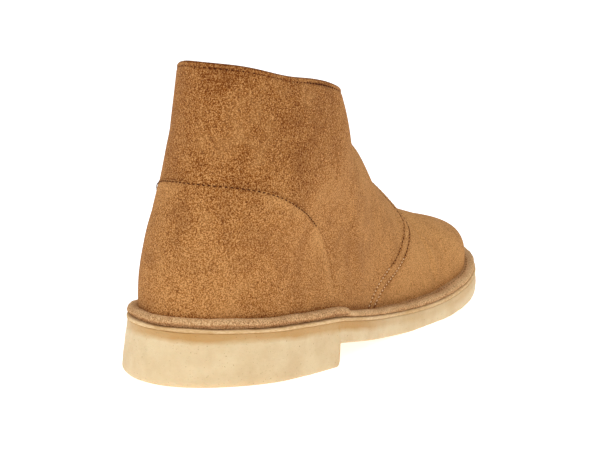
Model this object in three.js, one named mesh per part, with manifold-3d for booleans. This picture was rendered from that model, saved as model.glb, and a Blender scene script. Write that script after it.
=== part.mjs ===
// A right-foot chukka boot, built round its last. Millimetres, +Z up, toe to +Y, lateral side to +X.
// "u" is the distance forward from the back of the heel, "x" the distance to the lateral side.
import * as THREE from 'three';
import { mergeVertices } from 'three/addons/utils/BufferGeometryUtils.js';
import Module from 'manifold-3d';

const wasm = await Module();
wasm.setup();

// ---- driving sizes -------------------------------------------------------------------------------
const SOLE_LENGTH = 296;
const BOX_CENTRE_X = -1.83; // middle of the finished boot's width, put over the origin
const GAP = 0.3; // left between pieces that are glued or sewn face to face
const QUARTER_WALL = 2.4; // suede and lining
const VAMP_STEP = 1.0; // the vamp lies this far under the quarters that lap it
const COUNTER_THICK = 1.3;
const TONGUE_THICK = 1.8;
const TONGUE = { half: 24, foot: 0.8, to: 209, top: 128, inward: 20, outward: 12, every: 8 };
const FLANGE_WIDTH = 6.5; // upper's edge, turned out and sewn down on the midsole
const TOE_FLANGE = { width: 3.6, from: 215, to: 275 }; // where and how far it narrows at the toe
const FLANGE_THICK = 2.0;
const FLANGE_INSET = 0.3;
const MIDSOLE_THICK = 1.7;
const INSOLE_THICK = 2.5;
const HEEL_BREAST = 82.9; // front face of the heel block, forward from the back
const DECK = { // heights of the midsole's top, and the toe's spring
  back: 26.8,
  breast: 22.6,
  ball: 10.0,
  ballAt: 200,
  springFrom: 205,
  spring: 13.3,
  bend: 0.79,
};
const SOLE_THICK = { breast: 11.9, ball: 10.4, toe: 11.0 }; // midsole and crepe before the ball is flattened
const CREPE_OVERHANG = 0.4;
const COLLAR_TOP = 165; // forms run past the collar and are cut there
const FORM_BOTTOM = 3;
const LACE = { radius: 1.3, sides: 8, steps: 24, lift: 0.6, inHole: 1.6, outHole: 0.2, turn: 2.2, edge: 0.9 };
const EYELET = { radius: 2.5, fromSlot: 8, at: [158, 131], length: 12, sides: 16 };
const SLOT = { from: 193, halfBottom: 4.5, halfTop: 7.5, halfLeast: 0.8, taper: 16, depth: 12, every: 6 };
const AROUND = 90; // reach of cutting blocks past the boot
const BELOW = 40; // reach of the block that clears the inside down past the floor

// ---- tables: sole outline, deck, back line, shaft, front line, seams ------------------------------
const OUTLINE = [ // centre line and half width of the sole, before its ends are rounded
  { u: 0, centre: 0.0, half: 34.2 },
  { u: 40, centre: 1.5, half: 40.5 },
  { u: 100, centre: 6.7, half: 43.0 },
  { u: 150, centre: 2.9, half: 41.9 },
  { u: 205, centre: -2.0, half: 48.2 },
  { u: 250, centre: -4.3, half: 49.4 },
  { u: 296, centre: -7.5, half: 48.9 },
];
const HEEL_END = { reach: 43.8, power: 1.93 };
const TOE_END = { reach: 59.3, power: 2.63 };
const BACK_LINE = [ // profile of the heel and shaft from behind
  { z: 24, u: 6.6 },
  { z: 45, u: 4.8 },
  { z: 75, u: 7.8 },
  { z: 105, u: 14.3 },
  { z: 130, u: 17.4 },
  { z: 155, u: 19.7 },
];
const SHAFT_HALF = [
  { z: 28, half: 33.0 },
  { z: 50, half: 34.4 },
  { z: 75, half: 36.3 },
  { z: 100, half: 36.2 },
  { z: 125, half: 33.4 },
  { z: 155, half: 29.2 },
];
const SHAFT_CENTRE = [
  { z: 28, x: 0.0 },
  { z: 75, x: 8.0 },
  { z: 155, x: 6.6 },
];
const FRONT_LINE = [ // ridge from above the collar, down the throat and over the toe
  { u: 109.5, z: 168 },
  { u: 112.9, z: 140 },
  { u: 117.3, z: 122 },
  { u: 127.0, z: 109.6 },
  { u: 147.5, z: 97.4 },
  { u: 180.0, z: 80.8 },
  { u: 200.0, z: 71.8 },
  { u: 212.0, z: 62.4 },
  { u: 224.0, z: 54.8 },
  { u: 238.0, z: 49.4 },
  { u: 262.0, z: 43.0 },
  { u: 281.5, z: 38.6 },
  { u: 290.2, z: 32.8 },
  { u: 292.4, z: 26 },
];
const VAMP_SHAPE = [ // roundness of the section and lean of its top to the medial side
  { u: 120, power: 2.7, lean: 0.0 },
  { u: 160, power: 2.45, lean: 0.3 },
  { u: 200, power: 2.0, lean: -4.2 },
  { u: 245, power: 2.85, lean: -1.8 },
  { u: 292, power: 3.1, lean: 0.5 },
];
const LEAN = { from: 110, to: 130 };
const SHAFT_POWER = 2.9;
const SHAFT_DEPTH = 0.5; // share of a level section that rounds over its front
const HEEL_ROUND = { low: 41.5, high: 55, from: 30, to: 120, power: 1.96 }; // rounding behind the heel
const PIVOT = { u: 170, z: 118 }; // sections fan round this point from upright to level
const PIVOT_BLEND = 30;
const WAIST = { from: 80, to: 175, rise: 60 }; // where the shaft's own width takes over
const COLLAR = [
  { u: -20, z: 148.3 },
  { u: 10, z: 146.2 },
  { u: 24, z: 144.6 },
  { u: 45, z: 138.9 },
  { u: 60, z: 136.4 },
  { u: 80, z: 132.6 },
  { u: 100, z: 127.0 },
  { u: 130, z: 119 },
];
const COUNTER_SEAM = [
  { u: -12, z: 92.6 },
  { u: 14, z: 92.3 },
  { u: 30, z: 88.0 },
  { u: 48, z: 79.2 },
  { u: 66, z: 69.3 },
  { u: 78, z: 60.0 },
  { u: 85.5, z: 49.5 },
  { u: 89.5, z: 38.0 },
  { u: 94, z: 28.0 },
  { u: 100, z: 12.0 },
];
const QUARTER_FRONT = [ // front edge of the quarters, from the sole to the rounded throat corner
  { u: 136, z: 8 },
  { u: 151, z: 17.5 },
  { u: 167, z: 24.5 },
  { u: 186, z: 31.8 },
  { u: 200, z: 39.8 },
  { u: 208, z: 46.5 },
  { u: 208.5, z: 54.0 },
  { u: 203, z: 62.0 },
  { u: 193, z: 74.0 },
  { u: 184, z: 95.0 },
];

// ---- how finely curves are divided ----------------------------------------------------------------
const FRONT_POINTS = 300;
const EDGE_POINTS = 200;
const FAN_PAST = 5; // how far the fan's edges run past its pivot
const HALVINGS = 40;
const SLOPE_STEP = 0.5;
const JUST_UNDER = 0.01;
const WELD = 1e-4;
const SEAM_POINTS = { collar: 24, counter: 26, quarter: 26 };
const PLATE_SEGMENTS = { sole: 34, edge: 30, clearing: 40 };

// ---- mathematics -----------------------------------------------------------------------------------
const clamp = THREE.MathUtils.clamp;
const smooth = THREE.MathUtils.smoothstep; // (value, from, to)

// Natural cubic spline through a table's columns, held level past its ends.
function spline(rows, argument, value) {
  const xs = rows.map((row) => row[argument]);
  const ys = rows.map((row) => row[value]);
  const count = xs.length;
  const bend = new Array(count).fill(0);
  const carry = new Array(count).fill(0);
  for (let i = 1; i < count - 1; i += 1) {
    const share = (xs[i] - xs[i - 1]) / (xs[i + 1] - xs[i - 1]);
    const pivot = share * bend[i - 1] + 2;
    const turn = (ys[i + 1] - ys[i]) / (xs[i + 1] - xs[i]) - (ys[i] - ys[i - 1]) / (xs[i] - xs[i - 1]);
    bend[i] = (share - 1) / pivot;
    carry[i] = ((6 * turn) / (xs[i + 1] - xs[i - 1]) - share * carry[i - 1]) / pivot;
  }
  for (let i = count - 2; i >= 0; i -= 1) {
    bend[i] = bend[i] * bend[i + 1] + carry[i];
  }
  return (at) => {
    const x = clamp(at, xs[0], xs[count - 1]);
    let i = 0;
    while (i < count - 2 && x > xs[i + 1]) {
      i += 1;
    }
    const step = xs[i + 1] - xs[i];
    const a = (xs[i + 1] - x) / step;
    const b = (x - xs[i]) / step;
    const cubic = (a * a * a - a) * bend[i] + (b * b * b - b) * bend[i + 1];
    return a * ys[i] + b * ys[i + 1] + (cubic * step * step) / 6;
  };
}

// A curve through a table of (u, z) points, returned as evenly numbered points.
function curvePoints(rows, count) {
  let length = 0;
  const along = rows.map((row, i) => {
    if (i > 0) {
      length += Math.hypot(row.u - rows[i - 1].u, row.z - rows[i - 1].z);
    }
    return { s: length, u: row.u, z: row.z };
  });
  const uAt = spline(along, 's', 'u');
  const zAt = spline(along, 's', 'z');
  const points = [];
  for (let i = 0; i <= count; i += 1) {
    const s = (length * i) / count;
    points.push({ s, u: uAt(s), z: zAt(s) });
  }
  return points;
}

// Straight reading between neighbouring points of a list sorted by "key".
function lookUp(points, key, value, at) {
  const last = points.length - 1;
  if (at <= points[0][key]) return points[0][value];
  if (at >= points[last][key]) return points[last][value];
  let low = 0;
  let high = last;
  while (high - low > 1) {
    const middle = (low + high) >> 1;
    if (points[middle][key] <= at) {
      low = middle;
    } else {
      high = middle;
    }
  }
  const share = (at - points[low][key]) / (points[high][key] - points[low][key]);
  return points[low][value] + share * (points[high][value] - points[low][value]);
}

// Superellipse: 0 at the end, 1 once "distance" reaches "reach".
function rounding(distance, reach, power) {
  const left = clamp(1 - distance / reach, 0, 1);
  return (1 - left ** power) ** (1 / power);
}

// ---- the sole's own functions ------------------------------------------------------------------------
const soleCentre = spline(OUTLINE, 'u', 'centre');
const soleHalf = spline(OUTLINE, 'u', 'half');

function deckHeight(u) {
  const bendLength = DECK.ballAt - HEEL_BREAST;
  const slope = ((DECK.breast - DECK.back) / HEEL_BREAST) * bendLength;
  const t = clamp((u - HEEL_BREAST) / bendLength, 0, 1);
  const w = t ** DECK.bend;
  const down = DECK.breast + (DECK.ball - DECK.breast) * (3 * w * w - 2 * w * w * w);
  const arch = down + slope * t * (1 - t) * (1 - t);
  const flat = u < HEEL_BREAST ? DECK.back + ((DECK.breast - DECK.back) * u) / HEEL_BREAST : arch;
  const raised = clamp((u - DECK.springFrom) / (SOLE_LENGTH - DECK.springFrom), 0, 2);
  return flat + DECK.spring * raised * raised;
}

function crepeBottom(u) {
  const rows = [
    { u: HEEL_BREAST, thick: SOLE_THICK.breast },
    { u: DECK.ballAt, thick: SOLE_THICK.ball },
    { u: SOLE_LENGTH, thick: SOLE_THICK.toe },
  ];
  return Math.max(0, deckHeight(u) - lookUp(rows, 'u', 'thick', u));
}

function outlineHalf(u, grow) {
  const heel = rounding(u + grow, HEEL_END.reach + grow, HEEL_END.power);
  const toe = rounding(SOLE_LENGTH + grow - u, TOE_END.reach + grow, TOE_END.power);
  return (soleHalf(u) + grow) * heel * toe;
}

// ---- the upper's own function ---------------------------------------------------------------------------
const backLine = spline(BACK_LINE, 'z', 'u');
const shaftHalf = spline(SHAFT_HALF, 'z', 'half');
const shaftCentre = spline(SHAFT_CENTRE, 'z', 'x');
const vampPower = spline(VAMP_SHAPE, 'u', 'power');
const vampLean = spline(VAMP_SHAPE, 'u', 'lean');
const collarHeight = spline(COLLAR, 'u', 'z');
const FRONT = curvePoints(FRONT_LINE, FRONT_POINTS);
const FRONT_BY_HEIGHT = [...FRONT].sort((a, b) => a.z - b.z);
const WALL_BACK = FLANGE_WIDTH;
const WALL_TOE = SOLE_LENGTH - TOE_FLANGE.width;
const feather = (u) => deckHeight(u) + FLANGE_THICK;
const ridgeHeight = (u) => lookUp(FRONT, 'u', 'z', u);
const frontAt = (z) => lookUp(FRONT_BY_HEIGHT, 'z', 'u', z);
const backAt = (z) => (z < BACK_LINE[0].z ? BACK_LINE[0].u : backLine(z));

// Distances from the pivot to the front line and to the feather and back lines, by angle.
function fanTable(points) {
  const rows = points
    .filter((point) => point.u <= PIVOT.u + FAN_PAST && point.z <= PIVOT.z + FAN_PAST)
    .map((point) => ({
      angle: Math.atan2(PIVOT.u - point.u, PIVOT.z - point.z),
      reach: Math.hypot(PIVOT.u - point.u, PIVOT.z - point.z),
    }));
  return rows.sort((a, b) => a.angle - b.angle);
}

function lowerEdge() {
  const points = [];
  const endU = PIVOT.u + FAN_PAST;
  for (let i = 0; i <= EDGE_POINTS; i += 1) {
    const u = endU - ((endU - WALL_BACK) * i) / EDGE_POINTS;
    points.push({ u, z: feather(u) });
  }
  const start = feather(WALL_BACK);
  for (let i = 1; i <= EDGE_POINTS; i += 1) {
    const z = start + ((PIVOT.z + FAN_PAST - start) * i) / EDGE_POINTS;
    points.push({ u: backAt(z), z });
  }
  return points;
}
const FAN_FRONT = fanTable(FRONT);
const FAN_EDGE = fanTable(lowerEdge());

// Share of the way from the ridge (0) to the lower or back edge (1), and how level the section lies.
function fan(u, z) {
  const upright = (ridgeHeight(u) - z) / (ridgeHeight(u) - feather(u));
  if (u >= PIVOT.u) return { down: upright, level: 0 };
  if (z >= PIVOT.z) return { down: (frontAt(z) - u) / (frontAt(z) - backAt(z)), level: 1 };
  const angle = Math.atan2(PIVOT.u - u, PIVOT.z - z);
  const inner = lookUp(FAN_FRONT, 'angle', 'reach', angle);
  const outer = lookUp(FAN_EDGE, 'angle', 'reach', angle);
  const radial = (Math.hypot(PIVOT.u - u, PIVOT.z - z) - inner) / (outer - inner);
  const blend = smooth(u, PIVOT.u - PIVOT_BLEND, PIVOT.u);
  return { down: radial + (upright - radial) * blend, level: angle / (Math.PI / 2) };
}

// Middle and half width of the upper at (u, z).
function skin(u, z) {
  const place = fan(u, z);
  const down = clamp(place.down, 0, 1);
  const level = smooth(place.level, 0, 1);
  const sectionDepth = 1 - (1 - SHAFT_DEPTH) * level;
  const power = vampPower(u) + (SHAFT_POWER - vampPower(u)) * level;
  const overTop = rounding(down, sectionDepth, power);
  const high = smooth(z, HEEL_ROUND.from, HEEL_ROUND.to);
  const reach = HEEL_ROUND.low + (HEEL_ROUND.high - HEEL_ROUND.low) * high;
  const roundHeel = rounding(Math.max(0, u - backAt(z)), reach, HEEL_ROUND.power);
  const shaft = (1 - smooth(u, WAIST.from, WAIST.to)) * smooth(z - feather(u), 0, WAIST.rise);
  const narrow = smooth(u, TOE_FLANGE.from, TOE_FLANGE.to);
  const turned = FLANGE_WIDTH + (TOE_FLANGE.width - FLANGE_WIDTH) * narrow;
  const feathered = (soleHalf(u) - turned) * rounding(WALL_TOE - u, TOE_END.reach, TOE_END.power);
  const lean = vampLean(u) * smooth(u, LEAN.from, LEAN.to) * (1 - down) ** 2 * (1 - level);
  return {
    centre: soleCentre(u) + (shaftCentre(z) - soleCentre(u)) * shaft + lean,
    half: (feathered + (shaftHalf(z) - feathered) * shaft) * overTop * roundHeel,
  };
}

// Point on the upper "across" mm to one side of the ridge at u, with its outward normal.
function skinPoint(u, across, side) {
  let low = feather(u);
  let high = ridgeHeight(u);
  for (let i = 0; i < HALVINGS; i += 1) {
    const middle = (low + high) / 2;
    if (skin(u, middle).half > across) {
      low = middle;
    } else {
      high = middle;
    }
  }
  const x = (pu, pz) => skin(pu, pz).centre + side * skin(pu, pz).half;
  const step = SLOPE_STEP;
  const slopeU = (x(u + step, low) - x(u - step, low)) / (2 * step);
  const slopeZ = (x(u, low + step / 5) - x(u, low - step / 5)) / ((2 * step) / 5);
  const normal = new THREE.Vector3(1, -slopeU, -slopeZ).multiplyScalar(side).normalize();
  return { point: new THREE.Vector3(x(u, low), u, low), normal };
}

// ---- solids ----------------------------------------------------------------------------------
function geometryFrom(positions, index) {
  const geometry = new THREE.BufferGeometry();
  geometry.setAttribute('position', new THREE.Float32BufferAttribute(positions, 3));
  geometry.setIndex(index);
  return geometry;
}

function solidFrom(source) {
  const bare = source.clone();
  bare.deleteAttribute('normal');
  bare.deleteAttribute('uv');
  const geometry = mergeVertices(bare, WELD);
  return new wasm.Manifold(new wasm.Mesh({
    numProp: 3,
    vertProperties: new Float32Array(geometry.getAttribute('position').array),
    triVerts: new Uint32Array(geometry.getIndex().array),
  }));
}

function geometryOf(solid) {
  const mesh = solid.getMesh();
  return geometryFrom(Array.from(mesh.vertProperties), Array.from(mesh.triVerts));
}

// Closed skin over a stack of rings with equal numbers of points, capped by strips across each end ring.
function ringStack(rings) {
  const size = rings[0].length;
  const positions = rings.flat(2);
  const index = [];
  for (let r = 0; r < rings.length - 1; r += 1) {
    for (let i = 0; i < size; i += 1) {
      const a = r * size + i;
      const b = r * size + ((i + 1) % size);
      index.push(a, b, b + size, a, b + size, a + size);
    }
  }
  const top = (rings.length - 1) * size;
  for (let i = 0; i < size / 2; i += 1) {
    const j = size - 1 - i;
    const back = i === 0 ? 0 : size - i;
    if (i > 0) index.push(i, back, j, top + i, top + j, top + back);
    if (i < size / 2 - 1) index.push(i, j, i + 1, top + i, top + i + 1, top + j);
  }
  return geometryFrom(positions, index);
}

const FORM_RINGS = [
  { from: FORM_BOTTOM, to: 23, step: 10 },
  { from: 23, to: 48, step: 2.5 },
  { from: 48, to: 100, step: 5.2 },
  { from: 100, to: COLLAR_TOP, step: 6.5 },
];
const FORM_SEGMENTS = 17; // along each side of a ring

function formLevels() {
  const levels = [];
  for (const band of FORM_RINGS) {
    for (let z = band.from; z < band.to - WELD; z += band.step) {
      levels.push(z);
    }
  }
  levels.push(COLLAR_TOP);
  return levels;
}

// The last's own body, "offset" mm outside or inside the quarters' surface.
function form(offset) {
  const rings = formLevels().map((z) => {
    const back = backAt(z);
    const front = Math.min(frontAt(z), WALL_TOE);
    const lateral = [];
    const medial = [];
    for (let i = 0; i <= FORM_SEGMENTS; i += 1) {
      const u = back + ((front - back) * (1 - Math.cos((Math.PI * i) / FORM_SEGMENTS))) / 2;
      const { centre, half } = skin(u, z);
      const width = i === 0 || i === FORM_SEGMENTS ? 0 : half;
      lateral.push([centre + width, u, z]);
      medial.push([centre - width, u, z]);
    }
    return [...lateral, ...medial.slice(1, -1).reverse()];
  });
  const geometry = ringStack(rings);
  geometry.computeVertexNormals();
  const position = geometry.getAttribute('position');
  const normal = geometry.getAttribute('normal');
  for (let i = 0; i < position.count; i += 1) {
    position.setXYZ(
      i,
      position.getX(i) + offset * normal.getX(i),
      position.getY(i) + offset * normal.getY(i),
      position.getZ(i) + offset * normal.getZ(i),
    );
  }
  return solidFrom(geometry);
}

// A plate with the sole's outline between two heights that follow u.
function plate(bottomAt, topAt, grow, segments) {
  const ring = (heightAt) => {
    const lateral = [];
    const medial = [];
    for (let i = 0; i <= segments; i += 1) {
      const span = SOLE_LENGTH + 2 * grow;
      const u = -grow + (span * (1 - Math.cos((Math.PI * i) / segments))) / 2;
      const half = i === 0 || i === segments ? 0 : outlineHalf(u, grow);
      lateral.push([soleCentre(u) + half, u, heightAt(u)]);
      medial.push([soleCentre(u) - half, u, heightAt(u)]);
    }
    return [...lateral, ...medial.slice(1, -1).reverse()];
  };
  return solidFrom(ringStack([ring(bottomAt), ring(topAt)]));
}

// A block that fills a closed (u, z) outline right across the boot.
function sideBlock(points) {
  const shape = new THREE.Shape(points.map((point) => new THREE.Vector2(point.u, point.z)));
  const geometry = new THREE.ExtrudeGeometry(shape, { depth: 2 * AROUND, bevelEnabled: false });
  geometry.applyMatrix4(new THREE.Matrix4().makeBasis(
    new THREE.Vector3(0, 1, 0),
    new THREE.Vector3(0, 0, 1),
    new THREE.Vector3(1, 0, 0),
  ));
  geometry.translate(-AROUND, 0, 0);
  return solidFrom(geometry);
}

// The front line's own points where "keep" holds, from the vamp up.
function frontStations(keep, every) {
  return FRONT.filter((point, i) => keep(point) && i % every === 0).reverse();
}

// A strip along the front line: a four-cornered ring across it at each station.
function frontStrip(stations, halfAt, inward, outward) {
  const rings = stations.map((point, i) => {
    const before = stations[Math.max(0, i - 1)];
    const after = stations[Math.min(stations.length - 1, i + 1)];
    const length = Math.hypot(after.u - before.u, after.z - before.z);
    const outU = (after.z - before.z) / length;
    const outZ = -(after.u - before.u) / length;
    const half = halfAt(point, i);
    const { centre } = skin(point.u, point.z - JUST_UNDER);
    const corner = (x, reach) => [centre + x, point.u + outU * reach, point.z + outZ * reach];
    return [
      corner(-half, -inward),
      corner(half, -inward),
      corner(half, outward),
      corner(-half, outward),
    ];
  });
  return solidFrom(ringStack(rings));
}

// Opening between the facings, wider towards the collar.
function throatSlot() {
  const stations = frontStations((point) => point.u <= SLOT.from, SLOT.every);
  const total = stations[0].s - stations[stations.length - 1].s;
  const halfAt = (point) => {
    const along = stations[0].s - point.s;
    const width = SLOT.halfBottom + (SLOT.halfTop - SLOT.halfBottom) * (along / total);
    return Math.max(SLOT.halfLeast, width * rounding(along, SLOT.taper, 2));
  };
  return frontStrip(stations, halfAt, SLOT.depth, SLOT.depth);
}

function eyeletHole(u, side) {
  const { point, normal } = skinPoint(u, SLOT.halfTop + EYELET.fromSlot, side);
  const geometry = new THREE.CylinderGeometry(EYELET.radius, EYELET.radius, EYELET.length, EYELET.sides);
  geometry.applyQuaternion(new THREE.Quaternion().setFromUnitVectors(new THREE.Vector3(0, 1, 0), normal));
  geometry.translate(point.x, point.y, point.z);
  return solidFrom(geometry);
}

const collarCut = sideBlock([
  ...curvePoints(COLLAR, SEAM_POINTS.collar),
  { u: AROUND * 2, z: COLLAR[COLLAR.length - 1].z },
  { u: AROUND * 2, z: COLLAR_TOP + AROUND },
  { u: -AROUND, z: COLLAR_TOP + AROUND },
  { u: -AROUND, z: COLLAR[0].z },
]);
const counterBlock = sideBlock([
  ...curvePoints(COUNTER_SEAM, SEAM_POINTS.counter),
  { u: -AROUND, z: COUNTER_SEAM[COUNTER_SEAM.length - 1].z },
  { u: -AROUND, z: COUNTER_SEAM[0].z },
]);
const quarterBlock = sideBlock([
  ...curvePoints(QUARTER_FRONT, SEAM_POINTS.quarter),
  { u: QUARTER_FRONT[QUARTER_FRONT.length - 1].u, z: COLLAR_TOP + AROUND },
  { u: -AROUND, z: COLLAR_TOP + AROUND },
  { u: -AROUND, z: QUARTER_FRONT[0].z },
]);

// All that lies under the deck raised by "height", wider than the sole.
function floorPlate(height) {
  return plate(() => -BELOW, (u) => deckHeight(u) + height, BELOW, PLATE_SEGMENTS.clearing);
}

// A plate over the deck between two heights, set in from the sole's outline.
function layer(from, to) {
  const under = (u) => deckHeight(u) + from;
  const over = (u) => deckHeight(u) + to;
  return plate(under, over, -FLANGE_INSET, PLATE_SEGMENTS.edge);
}

const innerForm = form(-QUARTER_WALL);
const quarterForm = form(0);

function upperSolid() {
  const flange = layer(GAP, GAP + FLANGE_THICK);
  let shell = form(-VAMP_STEP).add(quarterForm.intersect(quarterBlock)).add(flange);
  shell = shell.subtract(innerForm).subtract(collarCut).subtract(throatSlot()).subtract(floorPlate(GAP));
  for (const u of EYELET.at) {
    for (const side of [-1, 1]) {
      shell = shell.subtract(eyeletHole(u, side));
    }
  }
  return shell;
}

function counterSolid() {
  const base = GAP + FLANGE_THICK + GAP;
  const foot = layer(base, base + COUNTER_THICK);
  const wall = form(GAP + COUNTER_THICK).add(foot).subtract(form(GAP));
  return wall.intersect(counterBlock).subtract(floorPlate(base));
}

function insoleSolid() {
  const top = plate(() => -BELOW, (u) => deckHeight(u) + GAP + INSOLE_THICK, -GAP, PLATE_SEGMENTS.edge);
  return form(-QUARTER_WALL - GAP).intersect(top).subtract(floorPlate(GAP));
}

// The strip that the tongue fills, from under the vamp to near the collar.
function tongueStrip() {
  const stations = frontStations((point) => point.u <= TONGUE.to && point.z < TONGUE.top, TONGUE.every);
  const last = stations.length - 1;
  const halfAt = (point, i) => TONGUE.half * (TONGUE.foot + (1 - TONGUE.foot) * (i / last));
  return frontStrip(stations, halfAt, TONGUE.inward, TONGUE.outward);
}

function tongueSolid() {
  const outside = form(-QUARTER_WALL - GAP);
  const inside = form(-QUARTER_WALL - GAP - TONGUE_THICK);
  return outside.subtract(inside).intersect(tongueStrip());
}

function midsoleSolid() {
  return plate((u) => deckHeight(u) - MIDSOLE_THICK, deckHeight, 0, PLATE_SEGMENTS.sole);
}

function outsoleSolid() {
  const top = (u) => deckHeight(u) - MIDSOLE_THICK - GAP;
  return plate(crepeBottom, top, CREPE_OVERHANG, PLATE_SEGMENTS.sole);
}

function heelSolid() {
  const block = plate(() => 0, (u) => deckHeight(u) - SOLE_THICK.breast - GAP, 0, PLATE_SEGMENTS.edge);
  const behind = new THREE.BoxGeometry(2 * AROUND, AROUND, AROUND);
  behind.translate(0, HEEL_BREAST - AROUND / 2, 0);
  return block.intersect(solidFrom(behind));
}

// One bar of lace: out of the lateral eyelet, over the tongue and into the medial one.
function laceBar(u) {
  const across = SLOT.halfTop + EYELET.fromSlot;
  const clear = LACE.radius + LACE.lift;
  const path = [];
  const lift = (spot, height) => spot.point.clone().addScaledVector(spot.normal, height);
  for (const side of [-1, 1]) {
    const hole = skinPoint(u, across, side);
    const turn = skinPoint(u, across - LACE.turn, side);
    const edge = skinPoint(u, SLOT.halfTop * LACE.edge, side);
    const outwards = [
      lift(edge, clear),
      lift(turn, clear),
      lift(hole, LACE.outHole),
      lift(hole, -LACE.inHole),
    ];
    path.push(...(side < 0 ? outwards.reverse() : outwards));
  }
  const section = new THREE.Shape();
  for (let i = 0; i < LACE.sides; i += 1) {
    const angle = (2 * Math.PI * i) / LACE.sides;
    if (i === 0) {
      section.moveTo(LACE.radius, 0);
    } else {
      section.lineTo(LACE.radius * Math.cos(angle), LACE.radius * Math.sin(angle));
    }
  }
  section.closePath();
  const curve = new THREE.CatmullRomCurve3(path, false, 'centripetal');
  return new THREE.ExtrudeGeometry(section, { steps: LACE.steps, bevelEnabled: false, extrudePath: curve });
}

// ---- finishes and assembly --------------------------------------------------------------------
const finish = (color, roughness) => ({ color, roughness, metalness: 0 });
const SUEDE = finish(0xb17842, 0.95);
const SUEDE_LIGHT = finish(0xb88052, 0.95);
const LEATHER_BOARD = finish(0xd9b98a, 0.7);
const CREPE = finish(0xe6cd9e, 0.6);
const INSOLE_LEATHER = finish(0xc9a070, 0.6);
const LACE_COTTON = finish(0x9a6a3c, 0.8);

const boot = new THREE.Group();
boot.name = 'chukka_boot';

function addPiece(name, geometry, look) {
  const mesh = new THREE.Mesh(geometry, new THREE.MeshStandardMaterial(look));
  mesh.name = name;
  mesh.position.set(-BOX_CENTRE_X, -SOLE_LENGTH / 2, 0);
  boot.add(mesh);
}

addPiece('upper', geometryOf(upperSolid()), SUEDE);
addPiece('heel_counter', geometryOf(counterSolid()), SUEDE_LIGHT);
addPiece('tongue', geometryOf(tongueSolid()), SUEDE);
addPiece('insole', geometryOf(insoleSolid()), INSOLE_LEATHER);
addPiece('midsole', geometryOf(midsoleSolid()), LEATHER_BOARD);
addPiece('outsole', geometryOf(outsoleSolid()), CREPE);
addPiece('heel', geometryOf(heelSolid()), CREPE);
addPiece('lace_lower', laceBar(EYELET.at[0]), LACE_COTTON);
addPiece('lace_upper', laceBar(EYELET.at[1]), LACE_COTTON);

export default boot;
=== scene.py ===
"""Looks of a right-foot chukka boot: suede upper sewn down on a crepe sole with a block heel.

Shapes are worked out in the boot's own sizes, in millimetres: "u" is the distance forward from the back
of the heel, "x" the distance to the lateral side and "z" the height above the floor.
"""

import logging
import math
from dataclasses import dataclass, field, replace
from enum import Enum
from functools import reduce
from typing import Callable

import bpy
import numpy as np
from mathutils import Matrix, Vector


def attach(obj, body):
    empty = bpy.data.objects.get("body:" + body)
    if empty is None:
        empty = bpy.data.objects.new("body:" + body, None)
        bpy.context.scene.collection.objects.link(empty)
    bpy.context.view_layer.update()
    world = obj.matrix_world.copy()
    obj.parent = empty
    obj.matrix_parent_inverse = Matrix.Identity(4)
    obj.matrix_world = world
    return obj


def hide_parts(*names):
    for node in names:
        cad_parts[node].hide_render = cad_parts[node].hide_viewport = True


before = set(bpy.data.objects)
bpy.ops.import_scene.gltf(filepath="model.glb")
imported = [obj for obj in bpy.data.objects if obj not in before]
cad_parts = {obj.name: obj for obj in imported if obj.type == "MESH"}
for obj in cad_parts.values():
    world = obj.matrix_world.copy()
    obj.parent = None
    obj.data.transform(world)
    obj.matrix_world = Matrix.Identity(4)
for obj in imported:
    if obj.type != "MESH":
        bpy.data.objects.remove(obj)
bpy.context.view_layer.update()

Array = np.ndarray
Reading = Callable[[Array], Array]
Sections = Callable[[Array], tuple[Array, ...]]
Table = tuple[tuple[float, ...], ...]

LOG = logging.getLogger("boot")
SOLE_LENGTH = 296.0
BOX_CENTRE_X = -1.83
FAR = 99.0
BODY = "root"


class Side(Enum):
    """The two sides of the boot, as the sign of x."""

    LATERAL = 1.0
    MEDIAL = -1.0


# ---- curves ------------------------------------------------------------------------------------------


def spline(table: Table, argument: int = 0, value: int = 1) -> Reading:
    """Natural cubic through a table's points, held level past its ends.

    The bends at the inner points solve the usual three-term rows, and each span is then the cubic that
    has those bends at its ends.

    Args:
        table: Rows of numbers, sorted by the argument column.
        argument: Column that is read from.
        value: Column that is read.

    Returns:
        A function from an array of arguments to an array of values.
    """
    rows = np.asarray(table, float)
    xs, ys = rows[:, argument], rows[:, value]
    step = np.diff(xs)
    size = len(xs)
    system = np.eye(size)
    inner = np.arange(1, size - 1)
    system[inner, inner - 1] = step[:-1]
    system[inner, inner] = 2 * (step[:-1] + step[1:])
    system[inner, inner + 1] = step[1:]
    load = np.zeros(size)
    load[inner] = 6 * np.diff(np.diff(ys) / step)
    bend = np.linalg.solve(system, load)

    def read(at: Array) -> Array:
        """Value of the curve.

        Args:
            at: Arguments.

        Returns:
            The values, in the same shape.
        """
        x = np.clip(np.asarray(at, float), xs[0], xs[-1])
        i = np.clip(np.searchsorted(xs, x, side="right") - 1, 0, size - 2)
        t, h = x - xs[i], step[i]
        slope = (ys[i + 1] - ys[i]) / h - h * (2 * bend[i] + bend[i + 1]) / 6
        return ys[i] + t * (slope + t * (bend[i] / 2 + t * (bend[i + 1] - bend[i]) / (6 * h)))

    return read


def curve_points(table: Table, count: int) -> Array:
    """Evenly numbered points of the smooth curve through a table of (u, z) points.

    Args:
        table: Rows of (u, z) along the curve.
        count: Number of steps.

    Returns:
        Rows of (length so far, u, z).
    """
    rows = np.asarray(table, float)
    run = run_along(rows)
    at = np.linspace(0, run[-1], count + 1)
    u = spline(tuple(zip(run, rows[:, 0])))(at)
    z = spline(tuple(zip(run, rows[:, 1])))(at)
    return np.stack([at, u, z], axis=1)


def run_along(points: Array) -> Array:
    """Length from the first point to each point of a line."""
    return np.concatenate([[0.0], np.cumsum(np.linalg.norm(np.diff(points, axis=0), axis=1))])


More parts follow.
